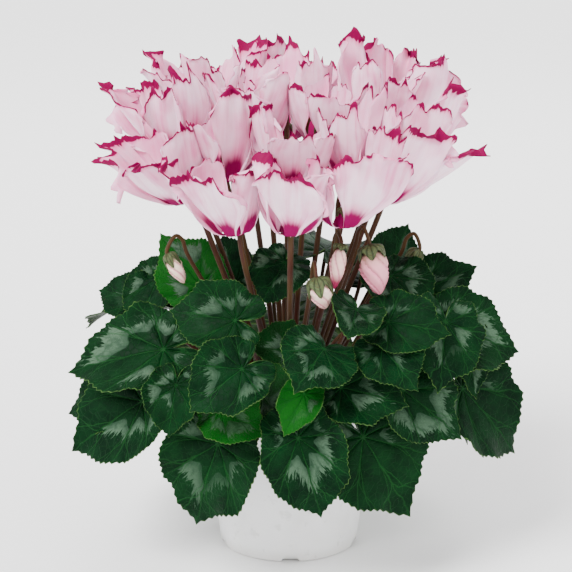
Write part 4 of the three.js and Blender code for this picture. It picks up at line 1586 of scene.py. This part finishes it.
# The middle of the nodding mouth, the way the petals sweep, how far they stand off and their length
BLOOMS = (
    ((-70, -50, 266), (-0.36, -0.04, 0.92), 30, 60),
    ((-36, -84, 251), (-0.14, 0.0, 1.0), 33, 64),
    ((1, -100, 255), (0.0, 0.0, 1.0), 27, 63),
    ((36, -86, 257), (0.04, 0.0, 1.0), 32, 63),
    ((62, -58, 268), (0.3, -0.05, 0.94), 28, 60),
    ((-78, -8, 290), (-0.2, 0.05, 0.97), 28, 60),
    ((-44, -41, 278), (-0.1, 0.02, 1.0), 32, 70),
    ((2, -55, 276), (0.0, 0.0, 1.0), 34, 70),
    ((46, -42, 278), (0.04, 0.02, 1.0), 30, 70),
    ((80, -14, 284), (0.08, 0.05, 1.0), 24, 60),
    ((-60, 36, 298), (-0.12, 0.12, 0.98), 30, 66),
    ((-24, 4, 294), (-0.04, 0.02, 1.0), 34, 74),
    ((22, 6, 294), (0.04, 0.02, 1.0), 34, 74),
    ((58, 24, 298), (0.06, 0.05, 1.0), 30, 68),
    ((76, 44, 292), (0.06, 0.15, 0.98), 22, 64),
    ((-2, 48, 288), (0.0, 0.04, 1.0), 34, 80),
    ((-36, 86, 284), (-0.2, 0.3, 0.92), 32, 66),
    ((36, 84, 284), (0.2, 0.3, 0.92), 32, 66),
)

# The point in the tuber that all planes between blooms pass through, and the height at which flower stalks
# leave the tuber
CELL_APEX = np.array([0.0, 0.0, 75.0])
STALK_START = 98.0

# Name, top of the bent stalk, top of the bud, its point and radius, how pink it is, how crimson its point
# is and how much of it its sepals cover
BUDS = (
    ("bud_left", (-78, -46, 240), (-84, -48, 229), (-72, -52, 208), 5.5, 0.1, 0.3, 0.46),
    ("bud_middle", (17, -92, 233), (18, -99, 226), (24, -102, 204), 8.5, 0.15, 0.4, 0.62),
    ("bud_right_pink", (50, -74, 253), (54, -78, 243), (61, -84, 209), 10.0, 0.9, 0.3, 0.3),
    ("bud_right_small", (88, -16, 234), (92, -18, 224), (82, -21, 208), 6.0, 0.0, 0.1, 0.85),
    ("bud_hanging", (33, -79, 250), (35, -88, 246), (30, -92, 215), 5.5, 0.45, 1.0, 0.14),
)


@dataclass
class Cell:
    """The room that a bloom may fill among its crowded neighbours.

    Args:
        centre: Its middle.
        normals: The directions to the planes that part it from each neighbour.
        distances: How far the planes are from the middle.
        start: The share of the way to its wall up to which points stay where they are.
        slack: How much of the way they may go beyond that share.
    """

    centre: Array
    normals: Array
    distances: Array
    start: float = 0.74
    slack: float = 0.34

    @staticmethod
    def of(index: int) -> "Cell":
        """The cell of a bloom. Planes through one point in the tuber part it from all the others.

        Args:
            index: The bloom's row in the table.

        Returns:
            The cell.
        """
        nose = np.array([b[0] for b in BLOOMS], float)
        middle = nose + 25 * unit(np.array([b[1] for b in BLOOMS], float))
        way = unit(middle - CELL_APEX)
        others = np.arange(len(BLOOMS)) != index
        normals = unit(way[others] - way[index])
        distances = -(middle[index] - CELL_APEX) @ normals.T - 0.6
        return Cell(middle[index], normals, distances)

    def press(self, points: Array) -> Array:
        """Draws points in towards the middle, the more the nearer they come to the cell's wall.

        The wall's distance along a ray is the twelfth-power mean of the planes' own. Past the share
        `start` of it, a point's share nears start + slack ever more slowly.

        Args:
            points: The points.

        Returns:
            Where they come to lie.
        """
        ray = points - self.centre
        far = np.linalg.norm(ray, axis=-1) + 1e-9
        way = ray / far[..., None]
        sums = ((np.maximum(0, way @ self.normals.T) / self.distances) ** 12).sum(axis=-1)
        limit = (sums + 1e-30) ** (-1 / 12)
        share = far / limit
        eased = self.start + self.slack * (1 - np.exp(-(share - self.start) / self.slack))
        share = np.where(share < self.start, share, eased)
        return self.centre + way * (share * limit)[..., None]


@dataclass
class Bloom:
    """A nodding bloom: five petals swept back from a short tube, whose mouth looks down.

    From its row it works out its nose, its splay, its petals' length, its cell, and its own axes: a along
    the petals' sweep, b to where its stalk comes past and c square to both.

    Args:
        index: Its row in the table.
        half_width: Half a petal's breadth in millimetres.
        sector: The turn from one petal to the next in degrees.
        thickness: A petal's thickness in millimetres.
        columns: The number of points across a petal.
        rows: The number of points along it.
        smooth_rim: How much further off the crimson edge is where the petal isn't frilled.
        overlap: How far a petal may lap over its neighbour's, as a share of its sector.
    """

    index: int
    half_width: float = 36.0
    sector: float = 63.0
    thickness: float = 0.55
    columns: int = 57
    rows: int = 25
    smooth_rim: float = 4.5
    overlap: float = 0.3
    nose: Array = field(init=False)
    splay: float = field(init=False)
    length: float = field(init=False)
    a: Array = field(init=False)
    b: Array = field(init=False)
    c: Array = field(init=False)
    cell: Cell = field(init=False)

    def __post_init__(self) -> None:
        """Reads the bloom's row and works out its axes. b looks to the tuber and a little inwards."""
        nose, axis, self.splay, self.length = BLOOMS[self.index]
        self.nose = np.array(nose, float)
        self.a = unit(np.array(axis, float))
        inward = unit(np.array([-self.nose[0], -self.nose[1] + 12, 0.0]))
        b = unit(CELL_APEX - self.nose) + 0.35 * inward
        self.b = unit(b - (b @ self.a) * self.a)
        self.c = np.cross(self.a, self.b)
        self.cell = Cell.of(self.index)

    def luck(self, k: int, n: Array | int) -> Array | float:
        """The chance number n of petal k."""
        return chance((self.index + 1) * 10 + k + n)

    def stand(self, k: int) -> float:
        """How far petal k stands off, in degrees."""
        return self.splay * (0.5 + 0.9 * float(self.luck(k, 0)))

    def lap(self, k: int, u: Array) -> Array:
        """How far a petal may reach over each side of its sector.

        The petals lie like the vanes of a pinwheel, so two neighbours overlap only where the first
        stands off as far as the second.

        Args:
            k: The petal's number.
            u: The place across it.

        Returns:
            The reach as a share of the sector.
        """
        after = k < 4 and self.stand(k) > self.stand(k + 1) + 1
        before = k > 0 and self.stand(k - 1) > self.stand(k) + 1
        return np.where(u > 0, self.overlap * after, self.overlap * before)

    def fringe(self, u: Array, luck: Array) -> tuple[Array, Array]:
        """A petal's top edge, which is frilled in some stretches and nearly smooth in the others.

        It is the sum of three sine waves, a tooth at every second column, and narrow horns that are the
        fifth power of a cosine.

        Args:
            u: The place across the petal.
            luck: The petal's chance numbers.

        Returns:
            How frilled it is there, and how far it stands past its even line as a share of the length.
        """
        frilled = smooth(0.2, 0.6, 0.5 + 0.5 * np.sin(3.4 * u + 9 * luck[5]))
        wander = np.sin(7 * u + 6 * luck[0]) + 0.7 * np.sin(17 * u + 6 * luck[1])
        wander = wander + 0.5 * np.sin(31 * u + 6 * luck[6])
        teeth = np.cos(np.pi * np.arange(self.columns))[None] * (0.5 + 0.5 * np.sin(11 * u + 9 * luck[2]))
        horns = (0.5 + 0.5 * np.cos(17 * u + 9 * luck[2] + 2.4 * np.sin(4 * u + luck[0]))) ** 5
        return frilled, (0.25 + 0.75 * frilled) * (0.024 * wander + 0.018 * teeth + 0.055 * horns)

    def folds(self, k: int, u: Array, v: Array, full: Array, luck: Array) -> Array:
        """How far a petal's folds push it out, besides its splay.

        It curls back by the square of its breadth and tilts like a vane. Flutes and small folds are sine
        waves across it. A crease is the size of a sine wave, which leaves a keel. Ruffles grow with high
        powers of v, so they stay near the edge, and the whole petal flares with the cube of v.

        Args:
            k: The petal's number.
            u: The place across it.
            v: The place along it.
            full: The place across it in millimetres.
            luck: The petal's chance numbers.

        Returns:
            The push in millimetres.
        """
        curl = 0.0055 * full**2
        tilt = (0.33 * np.minimum(1, v / 0.12) + 0.65 * (luck[6] - 0.5) * v**2) * full
        flute = 2.6 * v**1.6 * np.sin(2.5 * np.pi * u + 6 * float(self.luck(k, 900)))
        fold = 0.9 * v * np.sin(9 * u + 6 * luck[3]) + 0.35 * v * np.sin(23 * u + 6 * luck[4])
        crease = 3.6 * v**1.2 * (np.abs(np.sin(1.7 * np.pi * u + 6 * luck[2] + 0.9 * v)) - 0.64)
        ruffle = 4.2 * v**7 * np.sin(9 * u + 6 * luck[5] + 1.5 * np.sin(5 * u))
        ruffle = ruffle + 3.0 * v**12 * np.sin(19 * u + 9 * luck[1] + 2 * np.sin(7 * u))
        roll = (8 * luck[7] - 4) * v**10 * (0.7 + 0.5 * np.sin(3 * u + 9 * luck[0]))
        flare = 3.8 * v**3 + 3.6 * np.sin(np.pi * v) + roll
        return flare + tilt + flute + fold + crease + ruffle - curl

    def petal(self, k: int) -> Body:
        """One petal as a closed shell.

        u runs across it from -1 to 1 and v from root to edge. It rises along the sweep with v, up to a
        crown that falls off to both sides, and stands off by its splay and its folds. It widens as a
        quarter sine, and the fourth-power mean of that breadth and its sector's room keeps it within
        the sector. Its lip curls in and out along the edge. A petal that would lie level is raised. Its
        spot mark is u, v and the distance to its coloured edge.

        Args:
            k: Its number.

        Returns:
            The shell.
        """
        u, v = np.meshgrid(np.linspace(-1, 1, self.columns), 1 - np.linspace(1, 0, self.rows) ** 1.2)
        luck = self.luck(k, 1000 + np.arange(8))
        turn = math.radians(180 + self.sector * (k - 2))
        splay = math.radians(self.stand(k))
        size = 0.9 + 0.22 * float(self.luck(k, 500)) + 0.12 * (luck[3] - 0.5)
        frilled, fringe = self.fringe(u, luck)
        crown = 1 - 0.2 * np.abs(u) ** 3 - 0.2 * u**2 * v**4 + 0.46 * (luck[4] - 0.5) * u * v**3
        rise = v * (1 + fringe * v**9) * crown * size * self.length
        spread = 0.13 + 0.87 * np.sin(0.5 * np.pi * np.minimum(1, v / 0.55)) ** 1.1
        lean = 7 * (2 * float(self.luck(k, 300)) - 1) * v**2
        full = u * self.half_width * (0.74 + 0.32 * luck[2]) * size * spread + lean
        root = 5.5 + 4.4 * (1 - np.exp(-v / 0.07))
        out = root + rise * math.sin(splay) + self.folds(k, u, v, full, luck)
        room = out * math.tan(math.radians(self.sector / 2)) * (1.1 + self.lap(k, u) * v * v)
        room = room * (0.5 + 0.5 * smooth(0.08, 0.62, v))
        side = full / (1 + (np.abs(full) / room) ** 4) ** 0.25
        curling = 0.4 + 0.6 * np.sin(6.5 * u + 9 * luck[5] + 1.5 * np.sin(3 * u))
        lip = 3.8 * smooth(0.84, 1.0, v) ** 1.5 * curling
        high = rise * math.cos(splay) - 1.5 * np.sin(np.pi * np.minimum(v / 0.14, 1)) - 0.7 * np.abs(lip)
        radial = self.b * math.cos(turn) + self.c * math.sin(turn)
        across = np.cross(self.a, radial)
        place = self.nose + (out + lip)[..., None] * radial + side[..., None] * across
        place = place + high[..., None] * self.a
        level = float((self.a * math.cos(splay) + radial * math.sin(splay)) @ UP)
        place = place + (9 * min(1.0, max(0.0, (0.75 - level) / 0.3)) * v**2)[..., None] * UP
        points = self.cell.press(place.reshape(-1, 3))
        to_top = (1 - v) * self.length
        to_side = (1 - np.abs(u)) * self.half_width * 0.8 + np.maximum(0, to_top - 6) * 0.8
        edge = np.minimum(to_top, to_side) + self.smooth_rim * (1 - frilled)
        spot = np.stack([u, v, edge], axis=-1).reshape(-1, 3)
        look = np.tile([float(self.luck(k, 40)), 0.0, 1.0], (len(points), 1))
        loop = grid_edge(self.rows, self.columns)
        faces = [grid_faces(self.rows, self.columns, False)]
        return thicken(points, faces, loop, self.thickness, spot, look)

    def tube_and_mouth(self) -> Body:
        """The short tube behind the petals: out along its skin to the mouth's rim, and in to its throat.

        Returns:
            The tube, slightly five-lobed.
        """
        skin = [(1.2, 9.4), (3.2, 9.2), (4.2, 7.6), (5.4, 5.0), (6.3, 2.4), (6.4, 0.6), (5.9, -0.5)]
        throat = [(5.2, -0.6), (4.6, 0.1), (4.2, 1.6), (3.6, 3.4), (1.2, 4.6)]
        line = np.array(skin + throat)[::-1]
        sides = 40
        radius = line[:, :1] * (1 + 0.05 * np.cos(5 * turns(sides))[None])
        height = np.repeat(line[:, 1:], sides, axis=1)
        body = revolve(radius, height, self.nose, self.a, np.array([0.4, 1.0, 1.0]))
        body.spot[:, :] = [0.0, 0.0, 30.0]
        return body

    def style(self) -> Body:
        """The thin pin that shows in the mouth.

        Returns:
            The pin.
        """
        path = self.nose + np.linspace(5, -2.2, 8)[:, None] * self.a
        radii = np.array([0.6, 0.6, 0.55, 0.5, 0.5, 0.5, 0.55, 0.4])
        body = tube(path, radii, 8, self.b, np.array([0.5, 0.6, 1.0]))
        body.spot[:, :] = [0.0, 0.5, 30.0]
        return body

    def build(self, finish: bpy.types.Material) -> bpy.types.Object:
        """Makes the bloom.

        Args:
            finish: The petals' material.

        Returns:
            The bloom, without its stalk and cap.
        """
        parts = [self.petal(k) for k in range(5)] + [self.tube_and_mouth(), self.style()]
        number = f"{self.index + 1:02d}"
        made = Body.joined(parts).make(f"dressed_bloom_{number}", finish)
        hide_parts(f"bloom_{number}")
        return made

    def beside(self, up: float, aside: float) -> Array:
        """The place so far up the sweep from the nose and so far aside, where the stalk comes past."""
        return self.nose + self.a * up + self.b * aside

    def stalk(self) -> Body:
        """The flower stalk: up beside the nose, over in a hook and down to the tube's end.

        Returns:
            The stalk.
        """
        low = self.beside(-16, 9.5)
        way = low - CELL_APEX
        start = CELL_APEX + way * (STALK_START - CELL_APEX[2]) / way[2]
        hook = ((2, 10.5), (14, 10.0), (20, 5.775), (16.5, 1.2), (10.4, 0))
        bend = [self.beside(up, aside) for up, aside in hook]
        path = smooth_line(np.stack([start - way * 0.03, (start + low) / 2, low, *bend]), 7)
        share = np.linspace(0, 1, len(path))
        radii = 2.1 - 0.35 * share + 0.5 * np.exp(-share / 0.03)
        look = np.array([float(chance(self.index + 77)), 0.0, 1.0])
        return tube(path, radii, 12, self.c + 0.02 * self.a, look)

    def cap(self) -> Body:
        """The green cap behind the tube."""
        return sepals(self.beside(12.6, 0.0), -self.a, 4.3, 6.4, self.index)


def sepals(place: Array, way: Array, radius: float, length: float, seed: int) -> Body:
    """A cap of five pointed sepals as one closed shell.

    It is a bowl that opens along `way`: its radius grows as a quarter sine. Its rim runs in five points,
    and the length falls by three fifths between them.

    Args:
        place: The bowl's middle, where the stalk ends.
        way: The way it opens.
        radius: Its widest radius.
        length: The length of a sepal.
        seed: Its own number.

    Returns:
        The shell.
    """
    sides, rows, thickness = 40, 9, 0.5
    turn = turns(sides)[None]
    share = np.linspace(0.12, 1, rows)[:, None]
    axis = unit(way)
    point = 0.4 + 0.6 * (0.5 + 0.5 * np.cos(5 * turn)) ** 0.9
    out = radius * np.sin(0.5 * np.pi * np.minimum(1, share / 0.6)) ** 0.8 + 0.35 * share**3 + 0 * turn
    high = length * share * point
    skin = place + circle(turn, *across_axis(axis)) * out[..., None] + high[..., None] * axis
    points = np.concatenate([skin.reshape(-1, 3), [place]])
    i = np.arange(sides)
    pole = len(points) - 1
    fan = np.stack([np.full(sides, pole), (i + 1) % sides, i], axis=1)
    quads = grid_faces(rows, sides, True)
    spot = np.stack(np.broadcast_arrays(turn / FULL_TURN * 5, share * length, out), axis=-1).reshape(-1, 3)
    spot = np.concatenate([spot, np.zeros((1, 3))])
    look = np.tile([float(chance(seed + 5)), 0.0, 1.0], (len(points), 1))
    loop = ((rows - 1) * sides + i)[::-1]
    return thicken(points, [quads, fan], loop, thickness, spot, look)


@dataclass
class Bud:
    """A furled bud on a hooked stalk, in its cap of sepals. Places and sizes are in millimetres.

    Args:
        name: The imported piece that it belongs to.
        hook: The top of its bent stalk.
        neck: The top of the bud.
        tip: Its point.
        radius: Its radius.
        pink: How pink it is.
        crimson: How crimson its point is.
        covered: How much of it its sepals cover.
        profile: Its radius as a share, at shares of the way from neck to tip.
        shares: The shares at which it has points.
        sides: The number of points round it.
    """

    name: str
    hook: Triple
    neck: Triple
    tip: Triple
    radius: float
    pink: float
    crimson: float
    covered: float
    profile: tuple[tuple[float, float], ...] = (
        (0.16, 0.45),
        (0.25, 0.78),
        (0.45, 1.0),
        (0.75, 0.72),
        (0.93, 0.38),
        (1.0, 0.08),
    )
    shares: tuple[float, ...] = (
        0.16, 0.22, 0.3, 0.38, 0.46, 0.54, 0.62, 0.7, 0.78, 0.85, 0.91, 0.96, 0.995, 1.0,
    )
    sides: int = 60

    def axis(self) -> tuple[Array, Array, float]:
        """Where the bud starts, the way to its tip and its length.

        Returns:
            The neck, the whole way from it to the tip, and that way's length.
        """
        neck = np.array(self.neck, float)
        way = np.array(self.tip, float) - neck
        return neck, way, float(np.linalg.norm(way))

    def build(self, finish: bpy.types.Material) -> bpy.types.Object:
        """Makes the bud: a spindle with five petal folds that wind half round it.

        The radius falls with a power of the way through each fold, so every fold has a sharp edge.

        Args:
            finish: The bud's material.

        Returns:
            The bud, without its stalk and cap.
        """
        neck, way, length = self.axis()
        share = np.array(self.shares)
        swell = np.interp(share, *np.array(self.profile).T)
        along = np.linspace(0, 1, len(share))[:, None]
        wound = (BUD_FOLDS * turns(self.sides)[None] / FULL_TURN + BUD_WIND * along) % 1
        radius = self.radius * swell[:, None] * (0.84 + 0.27 * (1 - wound) ** 1.2)
        height = np.repeat(share[:, None] * length, self.sides, axis=1)
        look = np.array([float(chance(self.radius * 3)), self.pink, self.crimson])
        made = revolve(radius, height, neck, way, look).make(f"dressed_{self.name}", finish)
        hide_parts(self.name)
        return made

    def stalk(self) -> Body:
        """The bud's stalk, from the tuber up to the hook and down into the cap.

        Returns:
            The stalk.
        """
        neck, way, _ = self.axis()
        hook = np.array(self.hook, float)
        bearing = math.atan2(hook[1], hook[0])
        out = np.array([math.cos(bearing), math.sin(bearing), 0.0])
        start = 12 * out + STALK_START * UP
        rise = hook - 9 * out - 14 * UP
        waist = (start + rise) / 2 - 3 * out
        shoulder = hook - 5 * out - 3 * UP
        path = smooth_line(np.stack([start, waist, rise, shoulder, hook, neck, neck + 0.12 * way]), 7)
        share = np.linspace(0, 1, len(path))
        radii = 1.55 - 0.25 * share + 0.4 * np.exp(-share / 0.03)
        side_way = np.array([-out[1], out[0], 0.0])
        return tube(path, radii, 10, side_way, np.array([0.3, 0.0, 1.0]))

    def cap(self) -> Body:
        """The bud's sepals. The more of the bud they cover, the wider their cap.

        Returns:
            The cap.
        """
        neck, way, length = self.axis()
        radius = self.radius * (0.8 + 0.26 * self.covered)
        return sepals(neck + 0.02 * way, way, radius, self.covered * length, int(self.radius * 10))


@dataclass
class FlowerHead:
    """Every bloom and bud with its stalk and cap."""

    blooms: list[Bloom] = field(default_factory=lambda: [Bloom(i) for i in range(len(BLOOMS))])
    buds: list[Bud] = field(default_factory=lambda: [Bud(*row) for row in BUDS])

    def build(self) -> list[bpy.types.Object]:
        """Makes the blooms, the buds, their stalks and their caps.

        Returns:
            The pieces.
        """
        petals, bud_skin = PetalFinish().material(), BudFinish().material()
        growths = [*self.blooms, *self.buds]
        made = [bloom.build(petals) for bloom in self.blooms] + [bud.build(bud_skin) for bud in self.buds]
        stalk_skin = StalkFinish(StalkKind.FLOWER).material()
        stems = Body.joined([growth.stalk() for growth in growths]).make("flower_stalks", stalk_skin)
        caps = Body.joined([growth.cap() for growth in growths]).make("sepal_caps", SepalFinish().material())
        for piece in (stems, caps):
            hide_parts("tuber_and_stalks")
        return [*made, stems, caps]


# Camera, light and floor


@dataclass(frozen=True)
class Lamp:
    """A square soft light that looks at the plant.

    Args:
        name: Its name.
        place: Where it hangs, in metres.
        size: Its side in metres.
        power: Its power in watts.
    """

    name: str
    place: Triple
    size: float
    power: float

    def build(self) -> None:
        """Adds the light to the scene."""
        data = bpy.data.lights.new(self.name, "AREA")
        data.size, data.energy = self.size, self.power
        made = bpy.data.objects.new(self.name, data)
        made.location = self.place
        aim = Vector((0.0, 0.0, 0.2)) - Vector(self.place)
        made.rotation_euler = aim.to_track_quat("-Z", "Y").to_euler()
        bpy.context.scene.collection.objects.link(made)


@dataclass(frozen=True)
class Sun:
    """An even soft light from far off.

    Args:
        name: Its name.
        way: The way towards it.
        spread: How wide it looks, in degrees.
        strength: Its strength.
    """

    name: str
    way: Triple
    spread: float
    strength: float

    def build(self) -> None:
        """Adds the light to the scene."""
        data = bpy.data.lights.new(self.name, "SUN")
        data.angle, data.energy = math.radians(self.spread), self.strength
        made = bpy.data.objects.new(self.name, data)
        made.rotation_euler = (-Vector(self.way)).to_track_quat("-Z", "Y").to_euler()
        bpy.context.scene.collection.objects.link(made)


@dataclass
class Studio:
    """A pale floor, soft light and a camera a little above the plant's middle.

    Args:
        target: What the camera looks at, in millimetres.
        elevation: How high the camera stands, in degrees.
        distance: How far off it stands, in millimetres.
        focal_pixels: Its focal length in pixels of the photograph.
        image_pixels: The photograph's width in pixels.
        sensor: Its sensor's width in millimetres.
        lights: The lights.
        sky: The white sky's strength.
        floor_reach: How far the floor goes, in metres.
    """

    target: Triple = (-2.0, 0.0, 191.5)
    elevation: float = 15.5
    distance: float = 1500.0
    focal_pixels: float = 2101.0
    image_pixels: float = 572.0
    sensor: float = 36.0
    lights: tuple[Sun | Lamp, ...] = (
        Sun("key_light", (-0.9, -1.0, 1.5), 28.0, 5.4),
        Lamp("fill_light", (1.3, -1.0, 0.8), 1.4, 10.0),
        Lamp("back_light", (0.2, 1.4, 1.4), 1.2, 14.0),
    )
    sky: float = 1.55
    floor_reach: float = 6.0

    def camera(self) -> None:
        """Sets the camera on its target from the show side."""
        data = bpy.data.cameras.new("camera")
        data.sensor_width = self.sensor
        data.lens = self.focal_pixels / self.image_pixels * self.sensor
        data.clip_start, data.clip_end = 0.05, 20.0
        made = bpy.data.objects.new("camera", data)
        turn = math.radians(self.elevation)
        back = Vector((0.0, -math.cos(turn), math.sin(turn)))
        made.location = Vector(self.target) * METRES + back * self.distance * METRES
        made.rotation_euler = (-back).to_track_quat("-Z", "Y").to_euler()
        bpy.context.scene.collection.objects.link(made)
        bpy.context.scene.camera = made

    def floor(self) -> None:
        """Adds the floor."""
        mesh = bpy.data.meshes.new("floor")
        reach = self.floor_reach
        corners = [(-reach, -reach, 0), (reach, -reach, 0), (reach, reach, 0), (-reach, reach, 0)]
        mesh.from_pydata(corners, [], [(0, 1, 2, 3)])
        mesh.materials.append(FloorFinish().material())
        made = bpy.data.objects.new("floor", mesh)
        bpy.context.scene.collection.objects.link(made)

    def world(self) -> None:
        """Adds the white sky."""
        world = bpy.data.worlds.new("soft_sky")
        world.use_nodes = True
        inputs = world.node_tree.nodes["Background"].inputs
        inputs[0].default_value = (1.0, 1.0, 1.0, 1.0)
        inputs[1].default_value = self.sky
        bpy.context.scene.world = world

    def build(self) -> None:
        """Sets up camera, lights, sky and floor."""
        self.camera()
        for light in self.lights:
            light.build()
        self.world()
        self.floor()


def main() -> None:
    """Builds the studio and the plant, and reports each piece."""
    logging.basicConfig(level=logging.INFO, format="%(message)s")
    Studio().build()
    pieces = [Pot().build(), Soil().build(), Tuber().build()]
    pieces += Foliage().build()
    pieces += FlowerHead().build()
    for piece in pieces:
        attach(piece, "root")
        mesh = piece.data
        mesh.calc_loop_triangles()
        LOG.info("%s: %d triangles", piece.name, len(mesh.loop_triangles))


if __name__ == "__main__":
    main()
